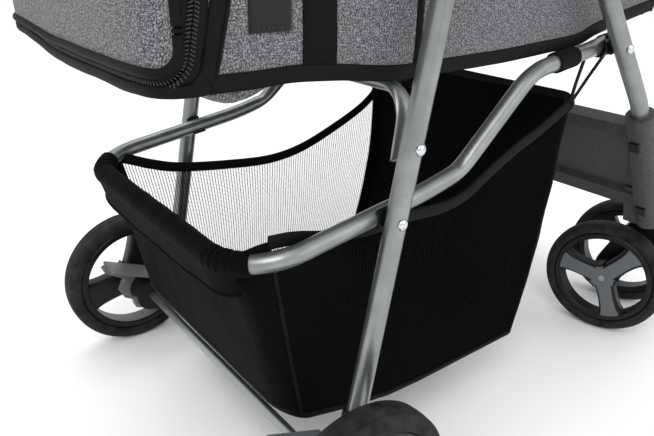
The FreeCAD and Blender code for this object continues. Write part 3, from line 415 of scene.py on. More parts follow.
def ramp_of(node: bpy.types.Node, stops: list) -> bpy.types.NodeSocket:
    """Set a colour ramp's stops, each a place and a hex colour, and return its colour."""
    elements = node.color_ramp.elements
    while len(elements) > 1:
        elements.remove(elements[-1])
    elements[0].position, elements[0].color = stops[0][0], linear(stops[0][1])
    for place, code in stops[1:]:
        elements.new(place).color = linear(code)
    return node.outputs["Color"]


@dataclass(frozen=True)
class Finish:
    """A finish: a name, its colour and how rough it is."""

    name: str
    colour: str
    roughness: float = 0.5
    metallic: float = 0.0
    specular: float = 0.5

    def start(self) -> tuple[bpy.types.Material, bpy.types.NodeTree, bpy.types.Node]:
        """Make the material with its shader, and set the shader's constants."""
        material = bpy.data.materials.new(self.name)
        material.use_nodes = True
        tree = material.node_tree
        shader = tree.nodes["Principled BSDF"]
        shader.inputs["Base Color"].default_value = linear(self.colour)
        shader.inputs["Roughness"].default_value = self.roughness
        shader.inputs["Metallic"].default_value = self.metallic
        shader.inputs["Specular IOR Level"].default_value = self.specular
        return material, tree, shader

    def place(self, tree: bpy.types.NodeTree, scale: tuple = (1.0, 1.0, 1.0)) -> bpy.types.NodeSocket:
        """Object coordinates in millimetres, stretched by a scale along each axis."""
        coordinates = add_node(tree, "ShaderNodeTexCoord")
        mapping = add_node(tree, "ShaderNodeMapping", inputs={
            "Vector": coordinates.outputs["Object"], "Scale": tuple(s / MM for s in scale)})
        return mapping.outputs["Vector"]

    def cloth_place(self, tree: bpy.types.NodeTree, scale: tuple = (1.0, 1.0)) -> bpy.types.NodeSocket:
        """The piece's own cloth coordinates in millimetres, stretched along warp and weft."""
        layer = add_node(tree, "ShaderNodeUVMap", {"uv_map": "cloth_mm"})
        mapping = add_node(tree, "ShaderNodeMapping", inputs={
            "Vector": layer.outputs["UV"], "Scale": (scale[0], scale[1], 1.0)})
        return mapping.outputs["Vector"]


@dataclass(frozen=True)
class PowderCoat(Finish):
    """Satin silver powder coat on steel tube: a fine orange peel and faint mottling."""

    peel_mm: float = 1.6
    peel: float = 0.06
    cloud_mm: float = 22.0

    def material(self) -> bpy.types.Material:
        """Build the material."""
        made, tree, shader = self.start()
        place = self.place(tree)
        cloud = add_node(tree, "ShaderNodeTexNoise", inputs={
            "Vector": place, "Scale": 1 / self.cloud_mm, "Detail": 4.0})
        shade = add_node(tree, "ShaderNodeValToRGB", inputs={"Fac": cloud.outputs["Fac"]})
        stops = [(0.35, shaded(self.colour, 0.9)), (0.65, self.colour)]
        tree.links.new(ramp_of(shade, stops), shader.inputs["Base Color"])
        peel = add_node(tree, "ShaderNodeTexNoise", inputs={
            "Vector": place, "Scale": 1 / self.peel_mm, "Detail": 2.0})
        bump = add_node(tree, "ShaderNodeBump", inputs={
            "Height": peel.outputs["Fac"], "Strength": self.peel, "Distance": 0.3 * MM})
        tree.links.new(bump.outputs["Normal"], shader.inputs["Normal"])
        shader.inputs["Coat Weight"].default_value = 0.15
        return made


@dataclass(frozen=True)
class DrawnSteel(Finish):
    """Zinc plated or drawn steel: fine scratches that run along X and a slight bloom."""

    along: tuple = (0.05, 1.0, 1.0)

    def material(self) -> bpy.types.Material:
        """Build the material."""
        made, tree, shader = self.start()
        lines = add_node(tree, "ShaderNodeTexNoise", inputs={
            "Vector": self.place(tree, self.along), "Scale": 1.6, "Detail": 3.0})
        rough = add_node(tree, "ShaderNodeMapRange", inputs={
            "Value": lines.outputs["Fac"], "To Min": self.roughness * 0.7, "To Max": self.roughness * 1.4})
        tree.links.new(rough.outputs["Result"], shader.inputs["Roughness"])
        bump = add_node(tree, "ShaderNodeBump", inputs={
            "Height": lines.outputs["Fac"], "Strength": 0.08, "Distance": 0.1 * MM})
        tree.links.new(bump.outputs["Normal"], shader.inputs["Normal"])
        return made


@dataclass(frozen=True)
class Moulded(Finish):
    """Injection moulded plastic: spark-eroded grain, with mottling where it is recycled."""

    grain_mm: float = 0.9
    grain: float = 0.25
    mottle: str = ""
    mottle_mm: float = 2.2

    def material(self) -> bpy.types.Material:
        """Build the material."""
        made, tree, shader = self.start()
        place = self.place(tree)
        grain = add_node(tree, "ShaderNodeTexNoise", inputs={
            "Vector": place, "Scale": 1 / self.grain_mm, "Detail": 3.0})
        bump = add_node(tree, "ShaderNodeBump", inputs={
            "Height": grain.outputs["Fac"], "Strength": self.grain, "Distance": 0.2 * MM})
        tree.links.new(bump.outputs["Normal"], shader.inputs["Normal"])
        rough = add_node(tree, "ShaderNodeMapRange", inputs={
            "Value": grain.outputs["Fac"],
            "To Min": self.roughness * 0.85, "To Max": self.roughness * 1.15})
        tree.links.new(rough.outputs["Result"], shader.inputs["Roughness"])
        if self.mottle:
            spots = add_node(tree, "ShaderNodeTexNoise", inputs={
                "Vector": place, "Scale": 1 / self.mottle_mm, "Detail": 5.0, "Roughness": 0.7})
            shade = add_node(tree, "ShaderNodeValToRGB", inputs={"Fac": spots.outputs["Fac"]})
            stops = [(0.35, self.colour), (0.68, self.mottle)]
            tree.links.new(ramp_of(shade, stops), shader.inputs["Base Color"])
        return made


@dataclass(frozen=True)
class Foam(Finish):
    """Moulded EVA foam, as in tyres and grips: matt, with pin-holes and paler cloudy patches of painted
    sheen.
    """

    pore_mm: float = 1.1
    cloud_mm: float = 14.0
    # painted sheen: the paler grey that the colour rises to in cloudy patches
    painted_sheen: str = "#2c2c2e"

    def material(self) -> bpy.types.Material:
        """Build the material."""
        made, tree, shader = self.start()
        place = self.place(tree)
        pores = add_node(tree, "ShaderNodeTexVoronoi", inputs={
            "Vector": place, "Scale": 1 / self.pore_mm})
        cloud = add_node(tree, "ShaderNodeTexNoise", inputs={
            "Vector": place, "Scale": 1 / self.cloud_mm, "Detail": 5.0})
        shade = add_node(tree, "ShaderNodeValToRGB", inputs={"Fac": cloud.outputs["Fac"]})
        # Base colour: the foam's own colour with paler cloudy patches of painted sheen.
        tree.links.new(ramp_of(shade, [(0.3, self.colour), (0.75, self.painted_sheen)]), shader.inputs["Base Color"])
        bump = add_node(tree, "ShaderNodeBump", inputs={
            "Height": pores.outputs["Distance"], "Strength": 0.35, "Distance": 0.4 * MM})
        tree.links.new(bump.outputs["Normal"], shader.inputs["Normal"])
        return made


@dataclass(frozen=True)
class Melange(Finish):
    """Heather-grey canvas: slubby warp and weft threads of pale and charcoal yarn.

    The threads are drawn about 1 mm apart.
    """

    pale: str = "#9d9da0"
    dark: str = "#1a1a1c"
    thread_mm: float = 0.95

    def material(self) -> bpy.types.Material:
        """Build the material."""
        made, tree, shader = self.start()
        slubs = []
        for scale in ((0.16, 1.0), (1.0, 0.16)):
            yarn = add_node(tree, "ShaderNodeTexNoise", {"noise_dimensions": "2D"}, {
                "Vector": self.cloth_place(tree, scale), "Scale": 1 / self.thread_mm,
                "Detail": 2.0, "Roughness": 0.6})
            slubs.append(yarn.outputs["Fac"])
        speck = add_node(tree, "ShaderNodeTexNoise", {"noise_dimensions": "2D"}, {
            "Vector": self.cloth_place(tree), "Scale": 0.8 / self.thread_mm,
            "Detail": 2.0, "Roughness": 0.8})
        both = add_node(tree, "ShaderNodeMath", {"operation": "ADD"}, {0: slubs[0], 1: slubs[1]})
        total = add_node(tree, "ShaderNodeMath", {"operation": "MULTIPLY_ADD"}, {
            0: both.outputs[0], 1: 0.33, 2: speck.outputs["Fac"]})
        mean = add_node(tree, "ShaderNodeMath", {"operation": "MULTIPLY"}, {0: total.outputs[0], 1: 0.6})
        shade = add_node(tree, "ShaderNodeValToRGB", inputs={"Fac": mean.outputs[0]})
        stops = [(0.36, self.dark), (0.5, self.colour), (0.64, self.pale)]
        tree.links.new(ramp_of(shade, stops), shader.inputs["Base Color"])
        bump = add_node(tree, "ShaderNodeBump", inputs={
            "Height": mean.outputs[0], "Strength": 0.5, "Distance": 0.5 * MM})
        tree.links.new(bump.outputs["Normal"], shader.inputs["Normal"])
        shader.inputs["Sheen Weight"].default_value = 0.12
        return made


@dataclass(frozen=True)
class Woven(Finish):
    """Plain or ribbed woven synthetic cloth: threads crossing over and under each other.

    The height is the product of two sine waves, one along each thread direction.
    """

    warp_mm: float = 1.6
    weft_mm: float = 1.6
    relief: float = 0.3
    sheen: float = 0.15

    def material(self) -> bpy.types.Material:
        """Build the material."""
        made, tree, shader = self.start()
        waves = []
        for scale, direction in (((1 / self.warp_mm, 1.0), "X"), ((1.0, 1 / self.weft_mm), "Y")):
            wave = add_node(tree, "ShaderNodeTexWave", {"bands_direction": direction}, {
                "Vector": self.cloth_place(tree, scale), "Scale": 0.32, "Distortion": 0.3})
            waves.append(wave.outputs["Fac"])
        cross = add_node(tree, "ShaderNodeMath", {"operation": "MULTIPLY"}, {0: waves[0], 1: waves[1]})
        fuzz = add_node(tree, "ShaderNodeTexNoise", {"noise_dimensions": "2D"}, {
            "Vector": self.cloth_place(tree), "Scale": 0.9, "Detail": 3.0})
        height = add_node(tree, "ShaderNodeMath", {"operation": "ADD"}, {
            0: cross.outputs[0], 1: fuzz.outputs["Fac"]})
        bump = add_node(tree, "ShaderNodeBump", inputs={
            "Height": height.outputs[0], "Strength": self.relief, "Distance": 0.5 * MM})
        tree.links.new(bump.outputs["Normal"], shader.inputs["Normal"])
        shade = add_node(tree, "ShaderNodeValToRGB", inputs={"Fac": height.outputs[0]})
        stops = [(0.45, self.colour), (1.0, shaded(self.colour, 1.5, 4))]
        tree.links.new(ramp_of(shade, stops), shader.inputs["Base Color"])
        shader.inputs["Sheen Weight"].default_value = self.sheen
        return made


@dataclass(frozen=True)
class OpenMesh(Finish):
    """Knitted mesh: upright oblong holes in rows, with thin threads between them.

    A hole is where the sawtooth of both coordinates lies inside the hole's share.
    """

    pitch_across: float = 3.3
    pitch_up: float = 1.8
    open_across: float = 0.78
    open_up: float = 0.84

    def material(self) -> bpy.types.Material:
        """Build the material."""
        made, tree, shader = self.start()
        place = self.cloth_place(tree, (1 / self.pitch_across, 1 / self.pitch_up))
        parts = add_node(tree, "ShaderNodeSeparateXYZ", inputs={"Vector": place})
        solid = []
        for output, share in (("X", self.open_across), ("Y", self.open_up)):
            saw = add_node(tree, "ShaderNodeMath", {"operation": "FRACT"}, {0: parts.outputs[output]})
            solid.append(add_node(tree, "ShaderNodeMath", {"operation": "GREATER_THAN"}, {
                0: saw.outputs[0], 1: share}).outputs[0])
        thread = add_node(tree, "ShaderNodeMath", {"operation": "MAXIMUM"}, {0: solid[0], 1: solid[1]})
        tree.links.new(thread.outputs[0], shader.inputs["Alpha"])
        bump = add_node(tree, "ShaderNodeBump", inputs={
            "Height": thread.outputs[0], "Strength": 0.3, "Distance": 0.3 * MM})
        tree.links.new(bump.outputs["Normal"], shader.inputs["Normal"])
        return made


class Finishes:
    """Every finish on the stroller, made once."""

    def __init__(self) -> None:
        """Build the materials."""
        self.tube = PowderCoat("satin_silver_powder_coat", "#8c9190", 0.33, 0.8).material()
        self.rivet = DrawnSteel("polished_rivet_steel", "#c9ccd2", 0.13, 1.0).material()
        self.axle = DrawnSteel("zinc_plated_rod", "#9a9e9f", 0.34, 0.9).material()
        self.black = Moulded("black_polypropylene", "#08080a", 0.42, specular=0.3).material()
        self.grey = Moulded("grey_polypropylene", "#5b5f62", 0.45, specular=0.35).material()
        self.pedal = Moulded("dark_grey_nylon", "#5f6264", 0.4, specular=0.45).material()
        self.bridge = Moulded(
            "mottled_grey_plastic", "#2e2e30", 0.5, 0.0, 0.3, mottle="#49494c", grain=0.35).material()
        self.tyre = Foam("eva_tyre_foam", "#060607", 0.75, 0.0, 0.2).material()
        self.grip = Foam("grip_foam", "#111113", 0.85, 0.0, 0.15, pore_mm=0.8).material()
        self.melange = Melange("heather_grey_canvas", "#57575a", 0.95, 0.0, 0.1).material()
        self.cloth = Woven(
            "black_oxford_cloth", "#030304", 0.85, 0.0, 0.06, relief=0.3, sheen=0.008).material()
        self.binding = Woven(
            "black_satin_binding", "#040405", 0.62, 0.0, 0.12,
            warp_mm=0.9, weft_mm=0.9, relief=0.1, sheen=0.01).material()
        self.webbing = Woven(
            "ribbed_webbing", "#040405", 0.75, 0.0, 0.12,
            warp_mm=2.6, weft_mm=1.3, relief=0.9, sheen=0.01).material()
        self.mesh = OpenMesh("knitted_mesh", "#030304", 0.8, 0.0, 0.08).material()
        self.fleece = Woven(
            "mat_fleece", "#77777a", 0.95, 0.0, 0.1,
            warp_mm=2.4, weft_mm=2.4, relief=0.6, sheen=0.3).material()
        self.patch = Woven(
            "woven_patch", "#0c0c0d", 0.6, 0.0, 0.2, warp_mm=0.8, weft_mm=0.8, relief=0.3).material()
        self.thread = Woven(
            "dark_grey_thread", "#1b1b1e", 0.6, 0.0, 0.4, warp_mm=0.8, weft_mm=0.8, relief=0.3).material()


# ------------------------------------------------------------------ frame tubes
@dataclass
class Frame:
    """The tubes, their rivets and the rods: swept along the same centre lines as the frame."""

    finishes: Finishes
    leg_x: float = 172.0
    leg_radius: float = 8.5
    support_x: float = 153.0
    support_radius: float = 7.5
    hinge: tuple = (-231.0, 518.0)
    leg_top: tuple = (-144.5, 619.0)
    support_pivot: tuple = (-349.5, 378.0)
    brace_pivot: tuple = (-71.0, 279.0)
    hoop_pivot: tuple = (-85.0, 334.0)
    rear_lean: float = 12.0
    rear_leg_span: tuple = (31.0, 531.0)
    front_leg_bend: float = 264.62
    column_top: tuple = (-409.5, 305.0)
    column_slope: tuple = (-73.5, -139.0)
    grip_centre: tuple = (182.0, 983.0)
    axle_height: float = 82.0
    arm_route: tuple = ((50.0, 261.0), (-122.0, 285.0), (-160.0, 294.0), (-244.0, 366.0), (-357.0, 379.5))

    def build(self) -> None:
        """Make every tube, rivet and rod."""
        self.rear_legs()
        self.front_legs()
        self.support_tube()
        self.handle()
        self.floor_hoop()
        self.axle()
        self.rivets()
        self.saddles()

    def leg_line(self) -> Array:
        """Unit direction down a rear leg in the side plane."""
        lean = math.radians(self.rear_lean)
        return np.array([0.0, math.sin(lean), -math.cos(lean)])

    def handle_line(self) -> Array:
        """Unit direction up the front legs and handle arms in the side plane."""
        step = np.subtract(self.leg_top, self.hinge)
        return unit(np.array([0.0, step[0], step[1]]))

    def at(self, side: Side, x: float, place: tuple) -> Array:
        """A place on one side, from its distance out and its place in the side plane."""
        return np.array([side.value * x, place[0], place[1]])

    def rear_legs(self) -> None:
        """Straight rear legs."""
        for side in Side:
            top = self.at(side, self.leg_x, self.leg_top)
            line = np.stack([top + self.leg_line() * reach for reach in np.linspace(*self.rear_leg_span, 60)])
            name = side.name.lower()
            Mesh(f"rear_leg_tube_{name}").grid(
                swept(line, ring_section(self.leg_radius, self.leg_radius), (1, 0, 0)), True, True,
            ).build([self.finishes.tube], "rear_frame", (f"rear_leg_{name}",), "satin_tube")

    def front_legs(self) -> None:
        """Front legs, which bend slightly where they enter their columns."""
        foot = np.array([0.0, *self.column_top])
        down = unit(np.array([0.0, *self.column_slope]))
        for side in Side:
            hinge = self.at(side, self.leg_x, self.hinge)
            corners = [
                hinge - self.handle_line() * 30,
                hinge - self.handle_line() * self.front_leg_bend,
                foot + down * 62 + [side.value * self.leg_x, 0, 0],
            ]
            name = side.name.lower()
            tube = swept(bent(corners, [90]), ring_section(self.leg_radius, self.leg_radius), (1, 0, 0))
            Mesh(f"front_leg_tube_{name}").grid(tube, True, True).build(
                [self.finishes.tube], "root", (f"front_leg_{name}",), "satin_tube")

    def support_line(self) -> Array:
        """Centre line of the basket's support tube, from right pivot to left pivot."""
        right = [self.at(Side.RIGHT, self.support_x, spot) for spot in reversed(self.arm_route)]
        left = [self.at(Side.LEFT, self.support_x, spot) for spot in self.arm_route]
        return bent(right + left, [60, 50, 300, 50, 50, 300, 50, 60], 3.0)

    def support_tube(self) -> None:
        """The support tube, crimped flatter where it is kinked.

        At a kink the tube's upright radius shrinks by a bell curve along its length, and
        ripples under a narrower bell curve run across its inner side.
        """
        line = self.support_line()
        angle = np.linspace(0, 2 * math.pi, 36, endpoint=False)
        section = np.stack([np.cos(angle), np.sin(angle)], 1)[None] * self.support_radius
        section = np.repeat(section, len(line), 0)
        for kink, inner in (((-160.0, 294.0), 1.0), ((-244.0, 366.0), -1.0)):
            reach = np.linalg.norm(line[:, 1:] - kink, axis=1)
            squeeze = bump_at(reach, 0.0, 13.0)
            ripple = bump_at(reach, 0.0, 9.0) * np.cos(reach / 3.2)
            facing = np.clip(np.sin(angle) * inner, 0, 1) ** 2
            section[..., 1] *= 1 - squeeze[:, None] * 0.12 - (ripple[:, None] * facing[None]) * 0.13
            section[..., 0] *= 1 + squeeze[:, None] * 0.07
        end = np.minimum(np.arange(len(line)), np.arange(len(line))[::-1]) * 3.0
        flat = 1 - smooth_step(end, 14, 34)
        section[..., 0] *= (1 - 0.45 * flat)[:, None]
        section[..., 1] *= (1 + 0.2 * flat)[:, None]
        Mesh("support_tube_bent").grid(swept(line, section), True, True).build(
            [self.finishes.tube], "support", ("support_tube",), "satin_tube")

    def handle(self) -> None:
        """The handle tube and its foam grip, which tapers at its ends and has shallow grooves."""
        start = np.add(self.hinge, self.handle_line()[1:] * 30)
        kink = np.add(self.leg_top, self.handle_line()[1:] * 411)
        top = self.grip_centre
        corners = [self.at(Side.RIGHT, self.leg_x, spot) for spot in (start, kink, top)]
        corners += [self.at(Side.LEFT, self.leg_x, spot) for spot in (top, kink, start)]
        line = bent(corners, [120, 52, 52, 120])
        Mesh("handle_tube_bent").grid(
            swept(line, ring_section(self.leg_radius, self.leg_radius), (0, -0.8, 0.6)), True, True,
        ).build([self.finishes.tube], "handle", ("handle_tube",), "satin_tube")
        half, radius = 110.0, 16.5
        across = np.linspace(-half, half, 260)
        taper = 5.5 * smooth_step(abs(across), half - 7, half)
        swell = radius - 1.2 + 0.6 * np.cos(across / half * math.pi * 3) - taper
        groove = 0.5 * np.maximum(0, np.cos(across / 6.0 * math.pi)) ** 6 * (abs(across) < half - 14)
        profile = np.stack([across, swell - groove], 1)
        Mesh("handle_foam_grip").grid(
            turned(profile, np.array([0, *top]), np.array([1.0, 0, 0]), 48), True, True, flip=True,
        ).build([self.finishes.grip], "handle", ("handle_grip",), "grip_foam")

    def floor_hoop(self) -> None:
        """The hoop under the cabin floor: flattened straps at its ends, round across the middle."""
        x, radius, rise = 157.8, 5.0, 372.0
        shift = (rise - self.hoop_pivot[1]) * math.tan(math.radians(self.rear_lean))
        low, high = (self.hoop_pivot[0], self.hoop_pivot[1] - 14), (self.hoop_pivot[0] - shift, rise)
        corners = [self.at(Side.RIGHT, x, spot) for spot in (low, high)]
        corners += [self.at(Side.LEFT, x, spot) for spot in (high, low)]
        line = bent(corners, [24, 24], 3.0)
        end = np.minimum(np.arange(len(line)), np.arange(len(line))[::-1]) * 3.0
        flat = 1 - smooth_step(end, 30, 75)
        section = np.repeat(ring_section(radius, radius, 24)[None], len(line), 0)
        section[..., 0] *= (1 + 0.75 * flat)[:, None]
        section[..., 1] *= (1 - 0.62 * flat)[:, None]
        grid = swept(line, section[..., ::-1], (0, 1, 0))
        Mesh("floor_hoop_bent").grid(grid, True, True, flip=True).build(
            [self.finishes.tube], "rear_frame", ("floor_hoop",), "satin_tube")

    def axle(self) -> None:
        """The plain axle rod with chamfered ends."""
        half, radius = 235.0, 4.8
        profile = np.array([[-half, 3.6], [-half + 1.2, radius], [half - 1.2, radius], [half, 3.6]])
        Mesh("rear_axle_rod").grid(
            turned(profile, np.array([0, 0, self.axle_height]), np.array([1.0, 0, 0]), 32),
            True, True, flip=True,
        ).build([self.finishes.axle], "rear_frame", ("rear_axle",), "axle_steel")

    def dome(self, mesh: Mesh, side: Side, x: float, place: tuple, radius: float, height: float) -> None:
        """Add a domed rivet head that stands outwards from a distance X."""
        share = np.linspace(0, 1, 9)
        profile = np.stack([height * np.sqrt(1 - share**2 * 0.97) - height * 0.17, radius * share], 1)
        profile = np.vstack([profile, [[-0.6, radius * 0.96]]])
        profile[0, 1] = 0.05
        head = turned(profile, self.at(side, x, place), np.array([side.value, 0.0, 0.0]), 32)
        mesh.grid(head, True, True)

    def rivets(self) -> None:
        """Domed heads outside the legs and on the hinges."""
        out = self.leg_x + self.leg_radius
        rear = Mesh("rear_rivet_heads")
        front = Mesh("front_rivet_heads")
        hinge = Mesh("hinge_pin_heads")
        for side in Side:
            for place in (self.brace_pivot, self.hoop_pivot):
                self.dome(rear, side, out, place, 4.8, 3.0)
            self.dome(rear, side, out + 4.0, self.leg_top, 6.2, 3.0)
            self.dome(front, side, out, self.support_pivot, 4.8, 3.0)
            self.dome(hinge, side, self.leg_x + 8.2, self.hinge, 8.2, 3.6)
        rear.build([self.finishes.rivet], "rear_frame", ("rear_frame_rivets",), "rivet_steel")
        front.build([self.finishes.rivet], "root", ("front_leg_rivets",), "rivet_steel")
        hinge.build([self.finishes.rivet], "root", ("hinge_pins",), "rivet_steel")

    def saddles(self) -> None:
        """Black plastic saddles that keep the support tube off the legs.

        Each is a half-round trough on the tube's outer and lower side: a crescent section,
        its outer arc joined to its inner one, carried a short way along the tube.
        """
        mesh = Mesh("tube_saddle_clips")
        sweep = np.radians(np.linspace(-135, 50, 20))
        for side in Side:
            arcs = [
                np.stack([side.value * reach * np.cos(sweep), reach * np.sin(sweep)], 1)[::order]
                for reach, order in ((9.8, 1), (7.55, -1))]
            section = np.vstack(arcs)[::side.value]
            for place, slope, half in ((self.brace_pivot, -0.12, 7.0), (self.support_pivot, -0.11, 9.0)):
                reach = np.linspace(-half, half, 7)
                line = np.stack([
                    np.full(7, side.value * self.support_x), place[0] + reach, place[1] + slope * reach], 1)
                mesh.grid(swept(line, section), True, True)
                disc = np.array([[7.6, 0.05], [7.6, 7.6], [9.9, 7.6], [9.9, 0.05]])
                centre = self.at(side, self.support_x, place)
                mesh.grid(turned(disc, centre, np.array([side.value, 0.0, 0.0]), 28), True)
        item = mesh.build([self.finishes.black], "support", ("tube_saddles",), "black_plastic")
        sharpen(item)


# ------------------------------------------------------------------ wheels
@dataclass
class Wheel:
    """One wheel: a foam tyre, a rim with three flared spokes and a grey star insert.

    The wide form is the rear wheel's, with broader spokes and grey inside its ring.
    """

    finishes: Finishes
    label: str
    centre: Array
    outward: Array
    radius: float
    width: float
    depth: float
    body: str
    tyre_node: str
    rim_node: str
    turns: tuple = (20.0, 140.0, 260.0)
    wide: bool = True

    def build(self) -> None:
        """Make the tyre and the rim."""
        self.tyre()
        self.rim()

    def tyre(self) -> None:
        """The tyre: a rounded band with two shallow grooves and a line on each wall."""
        half, outer, inner = self.width / 2, self.radius, self.radius - self.depth
        shoulder = [
            (half - 4.2, inner), (half - 1.2, inner + 1.0), (half - 0.2, inner + 3.6), (half, inner + 6.5),
            (half - 0.6, outer - 5.0), (half - 2.4, outer - 2.2), (half - 5.4, outer - 0.6), (0.0, outer),
        ]
        right = np.array(shoulder)
        left = right[-2::-1] * [-1, 1]
        profile = through(np.vstack([right, left]), 90)
        groove = sum(bump_at(profile[:, 0], place, 0.8) for place in (-half * 0.42, half * 0.42))
        profile[:, 1] -= 0.9 * groove * (profile[:, 1] > outer - 3)
        profile[:, 1] += 0.5 * bump_at(profile[:, 1], inner + 4.5, 0.9)
        profile[:, 1] = np.minimum(profile[:, 1], outer)
        grid = turned(profile, self.centre, self.outward, 144)
        Mesh(f"tyre_{self.label}").grid(np.concatenate([grid, grid[:1]]), True).build(
            [self.finishes.tyre], self.body, (self.tyre_node,), "tyre_foam")

    def spoke(self, turn: float, low: float, high: float, narrow: float, near: float, far: float,
              waist: float) -> Array:
        """One flared spoke as a grid.

        Its half width is a waist plus two falling exponentials, one from the hub and one
        from the ring, and its section is a squarish ring between two heights.

        Args:
            turn: the spoke's angle in degrees.
            low: the distance from the axis where it starts.
            high: the distance where it ends.
            narrow: how much narrower it is on each side than a full spoke.
            near: its lowest place along the axis.
            far: its highest place along the axis.
            waist: the half width at its narrowest.

        Returns:
            A grid of places.
        """
        reach = np.linspace(low, high, 26)
        half = waist + 5.0 * np.exp(-(reach - low) / 7.0) + 9.0 * np.exp(-(high - reach) / 7.0) - narrow
        section = ring_section(1.0, 1.0, 32, 6.0)
        across = section[None, :, 0] * half[:, None]
        along = (near + far) / 2 + section[None, :, 1] * (far - near) / 2 + 0 * across
        axis = unit(self.outward)
        level = unit(np.cross(axis, [0.0, 0.0, 1.0]))
        angle = math.radians(turn)
        spoke = math.cos(angle) * np.array([0, 0, 1.0]) + math.sin(angle) * level
        square = np.cross(axis, spoke)
        return (self.centre + reach[:, None, None] * spoke + across[..., None] * square
                + along[..., None] * axis)

    def rim(self) -> None:
        """The rim: a deep black ring, three wide black spokes and a grey star let into them."""
        ring, half = self.radius - self.depth - 0.1, self.width / 2
        mesh = Mesh(f"rim_{self.label}")
        wall = [
            (half - 3.5, ring - 7.6), (half - 2.0, ring - 6.5), (half - 1.6, ring - 1.2), (half - 2.5, ring)]
        band = np.array([(-x, reach) for x, reach in wall[::-1]] + wall + [(-wall[-1][0], ring)])
        kinds = np.array([0, 0, 0, int(self.wide), 0, 0, 0, 0])[:, None]
        mesh.grid(turned(band, self.centre, self.outward, 120), True, slot_of=kinds)
        hub = 14.5 if self.wide else 12.5
        core = np.array([
            (-half + 0.3, 0.05), (-half + 0.3, hub * 0.62), (-half + 2.5, hub * 0.8),
            (-6, hub), (6, hub), (half - 4.2, hub * 0.9), (half - 4.0, 0.05)])
        mesh.grid(turned(core, self.centre, self.outward, 64), True)
        waist = 15.5 if self.wide else 11.0
        for turn in self.turns:
            mesh.grid(self.spoke(turn, 0.0, ring - 5, 0.0, -half + 5.0, half - 3.6, waist), True, True)
            star = self.spoke(turn, 0.0, ring - 2.5, 3.2, half - 4.6, half - 2.0, waist)
            mesh.grid(star, True, True, slot=1)
            self.junction(mesh, turn + 60, waist + 3.0, -half + 5.0, half - 3.6, 0)
            self.junction(mesh, turn + 60, waist + 0.5, half - 4.6, half - 2.05, 1)
        item = mesh.build(
            [self.finishes.black, self.finishes.grey], self.body, (self.rim_node,), "rim_grey")
        sharpen(item, 35)

    def junction(self, mesh: Mesh, turn: float, reach: float, near: float, far: float, slot: int) -> None:
        """Fill the corner between two spokes with a concave fillet.

        Its outline is the hub's middle and a short arc about a place on the bisector, and
        it is carried straight along the axis.

        Args:
            mesh: where to add it.
            turn: the bisector's angle in degrees.
            reach: the spokes' half width.
            near: its lowest place along the axis.
            far: its highest place along the axis.
            slot: the material's number.
        """
        axis = unit(self.outward)
        level = unit(np.cross(axis, [0.0, 0.0, 1.0]))
        radius = 9.0
        centre = 2 * (reach + radius) / math.sqrt(3)
        sweep = np.radians(np.linspace(150, 210, 9))
        arc = np.stack([centre + radius * np.cos(sweep), radius * np.sin(sweep)], 1)
        outline = np.vstack([[[0.0, 0.0]], arc])
        angle = math.radians(turn)
        first = math.cos(angle) * np.array([0, 0, 1.0]) + math.sin(angle) * level
        second = np.cross(axis, first)
        flat = outline[:, :1] * first + outline[:, 1:] * second
        faces = np.stack([self.centre + flat + axis * near, self.centre + flat + axis * far])
        mesh.grid(faces, True, True, slot=slot)


